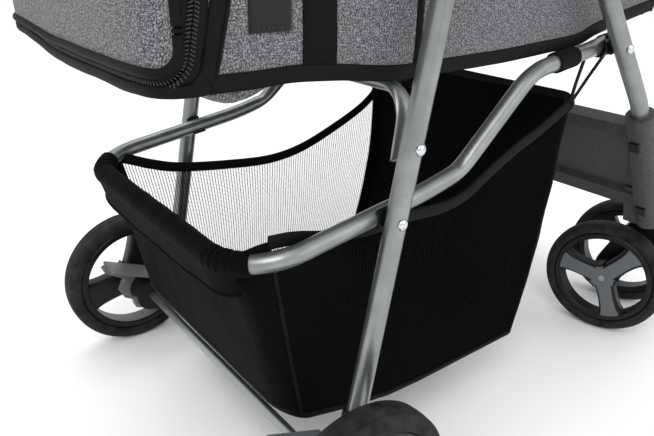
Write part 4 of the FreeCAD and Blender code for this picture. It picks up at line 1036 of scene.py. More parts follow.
@dataclass
class RunningGear:
    """All six wheels, with the places of the rear ones and of the casters' twins.

    A wheel's size is its radius, its width and the tyre's depth.
    """

    finishes: Finishes
    rear_x: float = 220.2
    rear_size: tuple = (82.0, 27.6, 15.0)
    caster_size: tuple = (73.0, 24.5, 13.0)
    swivel: tuple = (153.0, -539.0)
    trail: float = 35.0
    turn: float = 76.0
    spacing: float = 91.5

    def build(self) -> None:
        """Make every wheel and cap."""
        for side in Side:
            name = side.name.lower()
            centre = np.array([side.value * self.rear_x, 0.0, self.rear_size[0]])
            outward = np.array([side.value, 0.0, 0.0])
            Wheel(
                self.finishes, f"rear_{name}", centre, outward, *self.rear_size,
                f"rear_wheel_{name}", f"rear_tyre_{name}", f"rear_rim_{name}").build()
            self.hub_cap(name, centre, outward)
            heading = math.radians(90 + side.value * self.turn)
            trail = np.array([math.cos(heading), math.sin(heading), 0.0])
            axle = np.array([-math.sin(heading), math.cos(heading), 0.0])
            swivel = np.array([side.value * self.swivel[0], self.swivel[1], self.caster_size[0]])
            middle = swivel + trail * self.trail
            for place, end in (("rear", -side.value), ("front", side.value)):
                label = f"{name}_{place}"
                Wheel(
                    self.finishes, f"caster_{label}", middle + axle * end * self.spacing / 2, axle * end,
                    *self.caster_size, f"caster_wheel_{label}", f"caster_tyre_{label}",
                    f"caster_rim_{label}", (80.0, 200.0, 320.0), False).build()
            self.fork(name, side, trail, axle)

    def hub_cap(self, name: str, centre: Array, outward: Array) -> None:
        """A domed cap: its height falls with the square of the distance from the middle."""
        share = np.linspace(0.004, 1, 10)
        profile = np.stack([13.8 + 4.1 * (1 - share**2) ** 0.6, 12.5 * share], 1)
        profile = np.vstack([profile, [[13.0, 12.5]]])
        Mesh(f"hub_cap_{name}").grid(turned(profile, centre, outward, 40), True, True).build(
            [self.finishes.black], f"rear_wheel_{name}", (f"rear_hub_cap_{name}",), "black_plastic")

    def fork(self, name: str, side: Side, trail: Array, axle: Array) -> None:
        """A caster fork: a rounded outline carried across its width, drawn in at both faces."""
        outline = through([
            (-16, 150), (0, 151), (16, 149), (31, 128), (50, 92), (55, 74), (48, 59), (33, 56), (18, 66),
            (4, 94), (-10, 116), (-17, 132)], 96, True)
        centre = outline.mean(0)
        across = np.array([-1.0, -0.985, -0.9, -0.5, 0, 0.5, 0.9, 0.985, 1.0]) * 21.0
        inset = np.array([0.88, 0.97, 1, 1, 1, 1, 1, 0.97, 0.88])
        root = np.array([side.value * self.swivel[0], self.swivel[1], 0.0])
        flat = centre + (outline[None] - centre) * inset[:, None, None]
        grid = (root + flat[..., :1] * trail + flat[..., 1:] * np.array([0, 0, 1.0])
                + across[:, None, None] * axle)
        mesh = Mesh(f"caster_fork_block_{name}")
        mesh.grid(grid, True, True)
        stem = np.array([(147.0, 13.0), (151.6, 13.0), (151.6, 5.0), (186.0, 5.0)])
        angle = np.linspace(0, 2 * math.pi, 32, endpoint=False)
        ring = np.stack([np.cos(angle), np.sin(angle), 0 * angle], 1)
        mesh.grid(root + stem[:, None, :1] * [0, 0, 1] + stem[:, None, 1:] * ring[None], True, True)
        item = mesh.build(
            [self.finishes.black], f"caster_{name}", (f"caster_fork_{name}",), "black_plastic")
        sharpen(item, 50)


@dataclass
class Cabin:
    """The cabin: side panels, bulging rear door, bound edges, straps, floor and mat."""

    finishes: Finishes
    half_width: float = 143.0
    fold_axis: tuple = (0.0, -0.765, 0.644)
    fold_anchor: tuple = (0.0, -0.10, 0.46)
    keep: float = 0.3
    corner_y: float = 60.0
    strap_y: float = -23.0
    # places along the side of the dark rods beside the legs: painted shadow of the legs
    leg_shadow_lines: tuple = (-111.0, -366.0)
    bottom: tuple = (
        (72, 388), (42, 388), (-2, 387), (-39, 384), (-90, 378), (-166, 376), (-263, 377.5), (-316, 379),
        (-346, 387), (-390, 395), (-438, 403))
    plan: tuple = (
        (-143.0, 30.0), (-143.4, 52.0), (-142.8, 67.0), (-138.0, 81.0), (-123.0, 89.5), (-84.0, 93.0),
        (-20.0, 94.0), (45.0, 94.5), (100.0, 97.0), (129.0, 97.0), (140.5, 89.0), (143.4, 72.0),
        (143.4, 52.0), (143.0, 30.0))
    roll: tuple = ((46.0, 620.0), (46.0, 402.0))
    zip_line: tuple = ((34.5, 620.0), (35.0, 442.0), (44.0, 394.5))
    edge: tuple = ((13.0, 620.0), (13.0, 441.0), (27.0, 390.5))

    def bottom_z(self, y: Array) -> Array:
        """Height of the cabin's lower edge at a place along the side."""
        line = through(self.bottom, 160)[::-1]
        return np.interp(y, line[:, 0], line[:, 1])

    def rim_z(self, y: Array) -> Array:
        """Height of the side panel's upper edge."""
        return np.interp(y, [-466, -430, -300, 66], [560, 606, 612, 624])

    def side_grid(self, side: Side, low: float = 0.0, high: float = 1.0, rear: float | None = None,
                  front: float = 1.0, lift: float = 0.0, count: tuple = (110, 60)) -> Array:
        """A side panel's surface.

        Going from the rear to the front, the lower edge follows the bound edge and the upper
        one the rim, with straight lines between them. The panel swells outwards by a sine
        across its height and carries soft diagonal folds from seeded noise.

        Args:
            side: which side.
            low: the share of the height where it starts.
            high: the share of the height where it ends.
            rear: where it starts along the stroller.
            front: the share of the length where it ends.
            lift: how far it stands out from the cloth.
            count: places along and up.

        Returns:
            A grid of places.
        """
        rear = self.corner_y if rear is None else rear
        share = np.linspace(0, front, count[0])[:, None]
        rise = np.linspace(low, high, count[1])[None, :]
        low_y = rear + share * (-440 - rear)
        high_y = rear + share * (-448 - rear)
        low_z, high_z = self.bottom_z(low_y), self.rim_z(high_y)
        z = low_z + rise * (high_z - low_z)
        lean = smooth_step(share, 0.75, 1.0) * 24 * np.sin(np.clip(rise, 0, 1) * math.pi * 0.8)
        y = low_y + rise * (high_y - low_y) - lean
        swell = 2.2 * np.sin(np.clip(rise, 0, 1) * math.pi) ** 0.7
        swell = swell * np.sin(np.clip(share, 0.02, 0.98) * math.pi) ** 0.4
        fold = 1.1 * soft_noise(y + 0.8 * z, z - 0.5 * y, 46, 3) + 0.5 * soft_noise(y, z, 17, 5)
        hem = bump_at(rise, 0.0, 0.12) * 0.5 * np.sin(y / 9.0)
        x = side.value * (self.half_width + swell + (fold * 0.9 + hem) * smooth_step(rise, 0.0, 0.1) + lift)
        return np.stack(np.broadcast_arrays(x, y, z), -1)

    def build(self) -> None:
        """Make the whole cabin."""
        for side in Side:
            self.side_panel(side)
            self.side_trim(side)
        self.front_wall()
        self.rear_band()
        self.rear_door()
        self.floor()
        self.mat()

    def crumple(self, item: bpy.types.Object) -> None:
        """Give a piece its own copy of its mesh."""
        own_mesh(item)

    def side_panel(self, side: Side) -> None:
        """One grey side panel."""
        grid = self.side_grid(side)
        name = side.name.lower()
        item = Mesh(f"cabin_side_panel_{name}").grid(grid, flip=side is Side.LEFT).build(
            [self.finishes.melange], "root", (f"cabin_side_{name}",), "heather_fabric")
        thicken(item, 1.6)
        self.crumple(item)

    def edge_band(self, path: Array, height: float, thick: float) -> Array:
        """A folded binding along an edge: a squarish section of this height and thickness."""
        return swept(path, ring_section(thick / 2, height / 2, 20, 3.0))

    def side_trim(self, side: Side) -> None:
        """Bindings, dark rods beside the legs that are their painted shadow, webbing strap and, on the right,
        the plain patch.
        """
        sign, name = side.value, side.name.lower()
        trim = Mesh(f"cabin_side_trim_{name}")
        panel = self.side_grid(side)
        lower = panel[:, 0] + np.array([sign * 0.6, 0, 5.0])
        lower[:, 2] += 0.8 * soft_noise(lower[:, 1], 0, 31, 8)
        trim.grid(self.edge_band(even(lower, 150), 11.5, 4.6), True, True)
        upper = panel[:, -1] + np.array([0, 0, -3.0])
        trim.grid(self.edge_band(even(upper, 120), 11.0, 5.0), True, True)
        front = panel[-1] + np.array([sign * 0.3, 0, 0])
        trim.grid(swept(even(front, 60), ring_section(5.0, 2.6, 20, 3.0), (sign, 0, 0)), True, True)
        # Dark rods down the panel beside the rear and front legs: painted shadow of the legs, in the black
        # binding cloth.
        whole = self.side_grid(side, count=(240, 60))
        for centre in self.leg_shadow_lines:
            seam = whole[np.argmin(abs(whole[:, 0, 1] - centre))]
            trim.grid(swept(even(seam, 60), ring_section(3.4, 2.2, 16), (sign, 0, 0)), True, True)
        item = trim.build([self.finishes.binding], "root", (), "black_fabric")
        self.crumple(item)
        strap = Mesh(f"cabin_side_strap_{name}")
        grid = self.side_grid(side, 0.01, 0.985, count=(240, 70), lift=1.1)
        near = np.argmin(abs(grid[:, 0, 1] - self.strap_y))
        strap.grid(self.strip(grid[near - 7: near + 7]), flip=side is Side.LEFT)
        item = strap.build([self.finishes.webbing], "root", (), "black_fabric")
        thicken(item, 1.2)
        self.crumple(item)
        if side is Side.RIGHT:
            self.patch(side)

    def strip(self, grid: Array) -> Array:
        """A narrow part of a grid with its long edges made straight."""
        share = np.linspace(0, 1, len(grid))[:, None, None]
        return grid[:1] * (1 - share) + grid[-1:] * share

    def patch(self, side: Side) -> None:
        """A plain woven patch with a stitched border, and nothing written on it."""
        grid = self.side_grid(side, 0.14, 0.26, rear=31.0, front=0.066, lift=1.3, count=(12, 10))
        item = Mesh("plain_woven_patch").grid(grid, flip=side is Side.LEFT).build(
            [self.finishes.patch], "root", (), "black_fabric")
        thicken(item, 1.0)
        self.crumple(item)
        border = Mesh("patch_stitches")
        inner = self.side_grid(side, 0.152, 0.248, rear=28.6, front=0.0605, lift=1.9, count=(30, 20))
        loop = np.vstack([inner[:, 0], inner[-1, 1:], inner[-2::-1, -1], inner[0, -2:0:-1]])
        loop = even(np.vstack([loop, loop[:1]]), 90)[:-1]
        for start in range(0, 90, 3):
            border.grid(swept(loop[start:start + 2], ring_section(0.35, 0.35, 6)), True, True)
        item = border.build([self.finishes.thread], "root", (), "black_fabric")
        self.crumple(item)

    def plan_line(self) -> tuple[Array, Array]:
        """The rear wall's outline in plan, and how far along it each place lies."""
        line = even(through(np.array(self.plan), 800), 1201)
        return line, np.r_[0.0, np.cumsum(np.linalg.norm(np.diff(line, axis=0), axis=1))]

    def on_rear(self, along: Array, height: Array, lift: float | Array = 0.0) -> Array:
        """Places on the rear wall.

        The plan line is carried upwards. The wall bellies out by a sine across its width
        and height, carries soft folds from seeded noise, and its foot is pulled up on the left.

        Args:
            along: distances along the plan line.
            height: heights.
            lift: how far the places stand out from the cloth.

        Returns:
            A place for each distance and height.
        """
        line, steps = self.plan_line()
        slope = unit(np.gradient(line, axis=0))
        x, y = (np.interp(along, steps, line[:, k]) for k in (0, 1))
        out_x, out_y = np.interp(along, steps, -slope[:, 1]), np.interp(along, steps, slope[:, 0])
        middle = np.sin(np.clip(np.asarray(along) / steps[-1], 0, 1) * math.pi)
        belly = 2.4 * middle * np.sin(np.clip((height - 396) / 150, 0, 1) * math.pi)
        fold = soft_noise(np.asarray(along) + 0.5 * height, height - 0.3 * np.asarray(along), 36, 12)
        move = belly + 0.9 * fold * middle + lift
        pull = 15.0 * smooth_step(x, 20, 140) * (1 - smooth_step(height, 380, 425))
        return np.stack([x + out_x * move, y + out_y * move, height + pull], -1)

    def round_path(self, corners: tuple, radii: list, count: int = 420) -> Array:
        """A line down one side of the rear wall, across its foot and up the other side.

        Args:
            corners: distance and height of each corner on the first side.
            radii: the radius at each corner but the first.
            count: how many places.

        Returns:
            Distances and heights along the line.
        """
        total = self.plan_line()[1][-1]
        first = [(along, height, 0.0) for along, height in corners]
        second = [(total - along, height, 0.0) for along, height in reversed(corners)]
        return even(bent(first + second, radii + radii[::-1], 2.0)[:, :2], count)

    def ribbon(self, inner: Array, outer: Array, puff: float, columns: int = 9) -> Array:
        """A strip of cloth between two lines on the rear wall, puffed up by a sine across it."""
        share = np.linspace(0, 1, columns)[None, :, None]
        flat = inner[:, None] * (1 - share) + outer[:, None] * share
        pucker = soft_noise(flat[..., 0] * 2.2, flat[..., 1] * 0.7, 15, 41)
        foot = 1 - smooth_step(flat[..., 1], 396, 420)
        hump = np.sin(share[..., 0] * math.pi)
        lift = puff * hump + pucker * (0.35 + 1.1 * foot) * hump
        return self.on_rear(flat[..., 0], flat[..., 1], 0.5 + lift)

    def rear_band(self) -> None:
        """The black band outside the zip, the bound lower edge and the piping beside the panel."""
        inner = self.round_path(self.zip_line, [60.0, 20.0])
        outer = self.round_path(self.edge, [60.0, 12.0])
        middle = inner * 0.55 + outer * 0.45
        band = Mesh("cabin_rear_band_cloth")
        band.grid(self.ribbon(inner, middle, 0.8)).grid(self.ribbon(middle, outer, 2.6))
        item = band.build([self.finishes.binding], "root", ("cabin_rear_band",), "black_fabric")
        thicken(item, 1.2)
        self.crumple(item)
        edge = Mesh("cabin_rear_binding")
        foot = outer[outer[:, 1] < 393]
        line = self.on_rear(foot[:, 0], foot[:, 1] + 0.4, 1.0)
        line[:, 2] += 0.6 * soft_noise(line[:, 0], 0 * line[:, 0], 24, 51)
        edge.grid(self.edge_band(even(line, 260), 7.5, 5.0), True, True)
        piping = self.on_rear(outer[:, 0], outer[:, 1], 1.0)
        edge.grid(swept(even(piping, 420), ring_section(1.5, 1.5, 10)), True, True)
        item = edge.build([self.finishes.binding], "root", (), "black_fabric")
        self.crumple(item)
        teeth = Mesh("rear_zip_coil")
        self.zip_teeth(self.on_rear(inner[:, 0], inner[:, 1], 1.0), teeth)
        item = teeth.build([self.finishes.thread], "root", (), "black_fabric")
        self.crumple(item)

    def zip_teeth(self, line: Array, mesh: Mesh) -> None:
        """Two rows of slanting coil stitches along a line.

        Each stitch is a thin rod from near the line to about three millimetres beside it,
        leaning along it by about a third of that, so that the two rows make chevrons.
        """
        places = even(line, int(length_of(line) / 2.4))
        along = unit(np.gradient(places, axis=0))
        rear = smooth_step(places[:, 1], 60, 88)
        out = unit(np.stack([np.sign(places[:, 0]) * (1 - rear), rear, 0 * rear], 1))
        across = unit(np.cross(along, out))
        for sign in (-1, 1):
            start = places + across * sign * 0.5 + out * 0.7
            end = places + across * sign * 3.4 + along * 1.2 + out * 0.4
            side = unit(np.cross(out, end - start))
            for ring_start, ring_end, level, upward in zip(start, end, side, out):
                section = ring_section(0.5, 0.45, 5)
                ring = section[:, :1] * level + section[:, 1:] * upward
                mesh.grid(np.stack([ring_start + ring, ring_end + ring]), True, True)

    def rear_door(self) -> None:
        """The rear door: grey panel with rounded lower corners, rolled binding, and its tape.

        The panel's foot rises towards its corners along a quarter circle.
        """
        total = self.plan_line()[1][-1]
        start, radius = self.roll[0][0] + 1.5, 13.0
        across = np.linspace(0, 1, 181)[:, None]
        rise = np.linspace(0, 1, 60)[None, :]
        along = start + (0.5 - 0.5 * np.cos(across * math.pi)) * (total - 2 * start)
        inside = np.clip(np.minimum(along - start, total - start - along), 0, radius)
        foot = 404 + radius - np.sqrt(radius**2 - (radius - inside) ** 2)
        height = foot + rise * (618 - foot)
        panel = self.on_rear(along + 0 * height, height, 0.6)
        item = Mesh("rear_door_panel").grid(panel).build(
            [self.finishes.melange], "door", ("rear_door",), "heather_fabric")
        thicken(item, 1.4)
        trim = Mesh("rear_door_trim")
        roll = self.round_path(self.roll, [14.0])
        inner = self.round_path(self.zip_line, [60.0, 20.0])
        trim.grid(self.ribbon(roll, roll * 0.25 + inner * 0.75, 0.5))
        line = self.on_rear(roll[:, 0], roll[:, 1], 1.6)
        trim.grid(swept(even(line, 420), ring_section(3.3, 3.3, 16)), True, True)
        top = self.on_rear(np.linspace(start, total - start, 90), np.full(90, 616.0), 0.6)
        trim.grid(self.edge_band(even(top, 90), 9.0, 4.6), True, True)
        item = trim.build([self.finishes.binding], "door", (), "black_fabric")
        thicken(item, 0.7)

    def front_wall(self) -> None:
        """The low front wall, curved in plan, with bound edges and a mesh pocket."""
        across = np.linspace(-1, 1, 61)[:, None]
        rise = np.linspace(0, 1, 40)[None, :]
        x = across * (self.half_width - 1.0) * (1 - 0.02 * abs(across) ** 8)
        bow = 8 * (1 - abs(across) ** 2.6)
        fold = 1.2 * soft_noise(x, rise * 150, 40, 21)
        y = -438 - 26 * rise**0.9 - bow * np.sin(rise * math.pi * 0.55 + 0.2) + fold
        z = 400 + rise * (178 - 8 * (1 - abs(across) ** 2)) + 0 * x
        grid = np.stack(np.broadcast_arrays(x, y, z), -1)
        item = Mesh("cabin_front_panel").grid(grid, flip=True).build(
            [self.finishes.melange], "root", ("cabin_front",), "heather_fabric")
        thicken(item, 1.6)
        self.crumple(item)
        trim = Mesh("cabin_front_trim")
        trim.grid(swept(even(grid[:, -1], 80), ring_section(2.8, 6.0, 18, 2.6)), True, True)
        trim.grid(swept(even(grid[:, 0], 80) + [0, 0, 4], ring_section(2.8, 6.0, 18, 2.6)), True, True)
        pocket = grid[12:-12, 6:26] + np.array([0, -1.6, 0])
        trim.grid(swept(even(pocket[:, -1], 60), ring_section(1.8, 4.5, 14, 2.6)), True, True)
        item = trim.build([self.finishes.binding], "root", (), "black_fabric")
        self.crumple(item)
        item = Mesh("cabin_front_pocket").grid(pocket, flip=True).build(
            [self.finishes.mesh], "root", (), "mesh_fabric")
        self.crumple(item)

    def floor(self) -> None:
        """The floor cloth: it hangs a little below its edges between the frame's supports."""
        share = np.linspace(0, 1, 90)[:, None]
        across = np.linspace(-1, 1, 40)[None, :]
        y = 88 - share * 526
        edge = self.bottom_z(np.minimum(y, 66)) + 3
        rear = smooth_step(y, 20, 70)
        sag = 5.5 * (1 - across**2) * (0.3 + 0.7 * bump_at(y, 20, 60)) * (1 - 0.6 * rear)
        slack = 15.0 * bump_at(y, 36, 26) * bump_at(abs(across), 0.86, 0.2) * (across**2 < 0.999)
        z = edge - sag - slack + 0.8 * soft_noise(y, across * 140, 50, 31)
        half = self.half_width - 2 - smooth_step(y, 66, 88) * 14
        grid = np.stack(np.broadcast_arrays(across * half, y, z), -1)
        item = Mesh("cabin_floor_cloth").grid(grid).build(
            [self.finishes.melange], "root", ("cabin_floor",), "black_fabric")
        thicken(item, 1.8, 1.0)
        self.crumple(item)

    def mat(self) -> None:
        """The quilted mat: crowned, pulled down along its sewn channels, thin at its edge.

        Its thickness is a crown, one minus each coordinate to the eighth power, less a
        bell-shaped dip at each channel.
        """
        share = np.linspace(-1, 1, 121)[:, None]
        across = np.linspace(-1, 1, 71)[None, :]
        y = -182 + share * 236
        x = across * 133 + 0 * y
        crown = (1 - share**8) ** 0.5 * (1 - across**8) ** 0.5
        dips = sum(bump_at(y, place, 3.2) for place in range(-360, 40, 60))
        dips = dips + sum(bump_at(x, place, 3.2) for place in (-66, 0, 66))
        base = self.bottom_z(y) + 6.0
        thick = 2.0 + 11.0 * crown * (1 - 0.5 * np.clip(dips, 0, 1)) + 0.5 * soft_noise(x, y, 24, 44)
        top = np.stack([x, y + 0 * x, base + thick], -1)
        under = np.stack([x, y + 0 * x, base + 0.3 + 0 * x], -1)
        mesh = Mesh("quilted_floor_mat")
        mesh.grid(top).grid(under, flip=True)
        for first, second, turn in (
            (top[:, 0], under[:, 0], True), (top[:, -1], under[:, -1], False),
            (top[0], under[0], False), (top[-1], under[-1], True),
        ):
            mesh.grid(np.stack([first, second]), flip=turn)
        item = mesh.build([self.finishes.fleece], "root", ("floor_mat",), "mat_fleece")
        self.crumple(item)


@dataclass
class Basket:
    """The under-slung basket: a lofted bag hung from the support tube."""

    finishes: Finishes
    half_width: float = 143.5
    front_y: float = -334.0
    rear_y: float = 46.0
    top_right: tuple = (
        (46, 268), (30, 277), (13, 277), (-4, 274), (-27, 268), (-70, 262), (-109, 262), (-151, 259),
        (-182, 263), (-211, 277), (-247, 293), (-284, 306), (-334, 328))
    top_left: tuple = (
        (46, 268), (21, 262), (-9, 249), (-43, 238), (-105, 228), (-160, 223), (-205, 228), (-252, 243),
        (-302, 264), (-334, 286))
    foot_line: tuple = ((14, 118), (-11, 104), (-57, 91.5), (-103, 82), (-144, 79), (-290, 76))
    front_corner: float = 14.0
    rear_corner: float = 26.0
    fold_axis: tuple = (0.0, 0.0, 1.0)
    fold_anchor: tuple = (0.0, 0.1, 0.30)
    keep: float = 0.12

    def perimeter(self, count: int = 360) -> Array:
        """The rim in plan: a rectangle with round corners, as X and a share from front to rear.

        Returns:
            Places from the middle of the rear, over the right side, front and left side.
        """
        w, length = self.half_width, self.rear_y - self.front_y
        f, r = self.front_corner, self.rear_corner
        quarter = np.linspace(0, math.pi / 2, 14)
        corners = []
        for cx, cy, radius, turn in (
            (-w + r, length - r, r, 90), (-w + f, f, f, 180), (w - f, f, f, 270), (w - r, length - r, r, 0),
        ):
            angle = math.radians(turn) + quarter
            corners.append(np.stack([cx + radius * np.cos(angle), cy + radius * np.sin(angle)], 1))
        loop = even(np.vstack([[[0.0, length]], *corners, [[0.0, length]]]), count)
        return np.stack([loop[:, 0], loop[:, 1] / length], 1)

    def wall(self, count: int = 60) -> Array:
        """The bag's whole wall.

        Each place of the rim is joined to its place on the foot. The rim's height blends
        from the right side's line to the left side's across the width. The line between
        rim and foot bows inwards by a sine, or outwards at the front, and seeded noise gives
        soft creases.
        """
        rim = self.perimeter()
        foot = np.array(self.foot_line)[::-1]
        share = rim[:, 1]
        top_y = self.front_y + share * (self.rear_y - self.front_y)
        foot_y = foot[0, 0] + share * (foot[-1, 0] - foot[0, 0])
        right_z, left_z = (
            np.interp(top_y, *through(line, 200)[::-1].T) for line in (self.top_right, self.top_left))
        start = -1.05 + 1.3 * (1 - smooth_step(share, 0.0, 0.2))
        across = smooth_step(rim[:, 0] / self.half_width, start, 1.05)
        top_z = right_z * (1 - across) + left_z * across
        top_z = np.where(share > 0.985, np.minimum(top_z, 262), top_z)
        foot_z = np.interp(foot_y, *foot.T)
        rise = np.linspace(0, 1, count)[None, :]
        y = foot_y[:, None] + rise * (top_y - foot_y)[:, None]
        z = foot_z[:, None] + rise * (top_z - foot_z)[:, None]
        x = rim[:, 0, None] * (1 - 0.02 * (1 - rise) ** 2) + 0 * y
        slope = np.gradient(np.stack([x, y], -1), axis=0)
        out = unit(np.stack([slope[..., 1], -slope[..., 0]], -1))
        outward = np.sign((out[..., 0] * x + out[..., 1] * (y + 140)).sum())
        along = np.arange(len(rim))[:, None] * 3.1
        crease = 1.8 * soft_noise(along, z * 0.35, 26, 7) + 0.5 * soft_noise(along, z * 0.5, 10, 9)
        drape = 1.6 * soft_noise(along * 0.7 + z * 0.6, z * 0.25, 34, 15)
        shift = (crease + drape) * np.sin(rise * math.pi) ** 0.5 - 3.0 * np.sin(rise * math.pi)
        front = (1 - smooth_step(share, 0.0, 0.06))[:, None]
        y = y - 15.0 * front * np.sin(rise * math.pi)
        return np.stack([x + out[..., 0] * shift * outward, y + out[..., 1] * shift * outward, z], -1)

    def build(self) -> None:
        """Make the walls, bindings, sleeve, floor and straps."""
        wall = self.wall()
        rim = self.perimeter()
        n = len(rim)
        side_right = np.where((rim[:, 0] < -self.half_width + 2) & (rim[:, 1] < 0.945))[0]
        side_left = np.where((rim[:, 0] > self.half_width - 2) & (rim[:, 1] < 0.945))[0]
        a, b = side_right[0], side_right[-1]
        c, d = side_left[0], side_left[-1]
        back = np.concatenate([wall[d:n - 1], wall[:a + 1]])
        mesh, cloth = self.finishes.mesh, self.finishes.cloth
        parts = {
            "basket_mesh_right": (wall[a:b + 1], "basket_side_right", mesh, "mesh_fabric"),
            "basket_mesh_left": (wall[c:d + 1], "basket_side_left", mesh, "mesh_fabric"),
            "basket_front_cloth": (wall[b:c + 1], "basket_front", cloth, "black_fabric"),
            "basket_rear_cloth": (back, "basket_rear", cloth, "black_fabric"),
        }
        for name, (grid, node, material, slot) in parts.items():
            item = Mesh(name).grid(grid).build([material], "support", (node,), slot)
            if slot == "black_fabric":
                thicken(item, 1.4)
            self.crumple(item)
        self.bindings(wall, a, b, c, d)
        self.floor(wall)
        self.sleeve()
        self.straps(wall, b, c)

    def crumple(self, item: bpy.types.Object) -> None:
        """Give a piece its own copy of its mesh."""
        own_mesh(item)

    def bindings(self, wall: Array, a: int, b: int, c: int, d: int) -> None:
        """Folded tape along the top of the mesh and piping down the four seams."""
        mesh = Mesh("basket_bindings")
        for first, last in ((a, b), (c, d)):
            top = even(wall[first:last + 1, -1], 120)
            mesh.grid(swept(top, ring_section(1.8, 5.4, 18, 2.8)), True, True)
        for column in (a, b, c, d):
            seam = even(wall[column], 60)
            mesh.grid(swept(seam, ring_section(1.4, 1.4, 10), (1, 0, 0)), True, True)
        front = even(wall[b:c + 1, -1], 90)
        mesh.grid(swept(front, ring_section(1.8, 4.4, 18, 2.8)), True, True)
        foot = wall[:, 0]
        mesh.grid(swept(foot, ring_section(1.5, 2.4, 12)), True)
        item = mesh.build([self.finishes.binding], "support", (), "black_fabric")
        self.crumple(item)

    def floor(self, wall: Array) -> None:
        """The basket's floor: lines across between the two sides' feet, sagging in the middle."""
        n = len(wall)
        foot = wall[:, 0]
        right, left = foot[: n // 2], foot[n - 1: n // 2 - 1: -1][: n // 2]
        share = np.linspace(0, 1, 40)[None, :, None]
        grid = right[:, None] * (1 - share) + left[:, None] * share
        middle = np.sin(share[..., 0] * math.pi)
        end = np.sin(np.linspace(0, math.pi, len(right)))[:, None]
        grid[..., 2] -= 3.5 * middle * end
        grid[..., 2] += 0.7 * soft_noise(grid[..., 0], grid[..., 1], 34, 17)
        item = Mesh("basket_floor_cloth").grid(grid).build(
            [self.finishes.cloth], "support", ("basket_floor",), "black_fabric")
        thicken(item, 1.6, 0.0)
        self.crumple(item)

    def sleeve(self) -> None:
        """The hem rolled over the rear bar, and the skirt that hangs from it to a piped seam.

        The roll's section is a circle a little wider than the bar. Gathers run round it at
        both corners, as ripples along its length whose height follows a bell curve.
        """
        line = Frame(self.finishes).support_line()
        line = even(line[(line[:, 1] > 33) & (line[:, 2] < 275)], 300)
        angle = np.linspace(0, 2 * math.pi, 40, endpoint=False)
        section = np.stack([np.cos(angle) * 9.6, np.sin(angle) * 9.4], 1)
        reach = np.linspace(-1, 1, 300)
        gather = bump_at(abs(reach), 0.84, 0.09)
        ripple = 1 + 0.06 * gather * np.cos(reach * 150) + 0.03 * soft_noise(reach * 320, 0 * reach, 22, 3)
        twist = 0.03 * gather[:, None] * np.cos(reach[:, None] * 210 + angle[None, :] * 2)
        full = section[None] * (ripple[:, None] + twist)[..., None]
        mesh = Mesh("basket_sleeve").grid(swept(line, full), True, True)
        part = even(line[10:-10], 160)
        slope = unit(np.gradient(part[:, :2], axis=0))
        out = np.stack([slope[:, 1], -slope[:, 0], 0 * slope[:, 0]], 1)
        out *= np.sign(out[:, 1].sum())
        middle = np.sin(np.linspace(0, math.pi, 160))[:, None] ** 0.5
        drop = np.linspace(0, 1, 16)[None, :, None]
        fall = 20 + 9 * middle + 1.5 * soft_noise(part[:, :1], part[:, 1:2], 40, 2)
        start = part + out * 8.6 + [0, 0, -3.5]
        skirt = start[:, None] + np.array([0, -0.16, -1.0]) * fall[:, None] * drop
        skirt = skirt - out[:, None] * (3.2 * drop**0.5)
        skirt[..., 1] += 0.9 * soft_noise(skirt[..., 0], skirt[..., 2], 22, 6) * drop[..., 0]
        mesh.grid(skirt)
        mesh.grid(swept(even(skirt[:, -1], 160), ring_section(1.5, 1.5, 12)), True, True)
        item = mesh.build([self.finishes.cloth], "support", (), "black_fabric")
        self.crumple(item)

    def straps(self, wall: Array, b: int, c: int) -> None:
        """Tapes from the basket's front corners to the support tube, and loops round the tube."""
        mesh, loops = Mesh("basket_hanging_tapes"), Mesh("tube_webbing_loops")
        tube_x = Frame(self.finishes).support_x
        for column, side in ((b, Side.RIGHT), (c, Side.LEFT)):
            corner = wall[column, -1] + [0, 0, -2]
            for y, z in ((-360.0, 372.0), (-324.0, 370.0)):
                top = np.array([side.value * (tube_x - 1), y, z])
                line = even(np.stack([corner, (corner + top) / 2 + [0, 1.0, 0], top]), 14)
                mesh.grid(swept(line, ring_section(0.8, 2.6, 12, 3.0), (0, 1, 0)), True, True)
            for centre, half in ((-288.0, 14.0), (-354.0, 5.0)):
                reach = np.linspace(-half, half, 24)
                y = centre + reach
                spot = np.stack([np.full(24, side.value * tube_x), y, 379.5 - (y + 357) * 0.119], 1)
                swell = 1 + 0.02 * np.cos(reach * 2.4)[:, None, None]
                loops.grid(swept(spot, ring_section(9.2, 9.0, 28, 2.3)[None] * swell), True, True)
            knot = np.array([[-9, 1.5], [-5, 4.0], [0, 5.2], [5, 3.2], [8, 1.0]])
            mesh.grid(turned(knot, corner + [0, 0, 3], np.array([0, 0, 1.0]), 16), True, True)
        item = mesh.build([self.finishes.binding], "support", (), "black_fabric")
        self.crumple(item)
        loops.build([self.finishes.webbing], "support", (), "black_fabric")


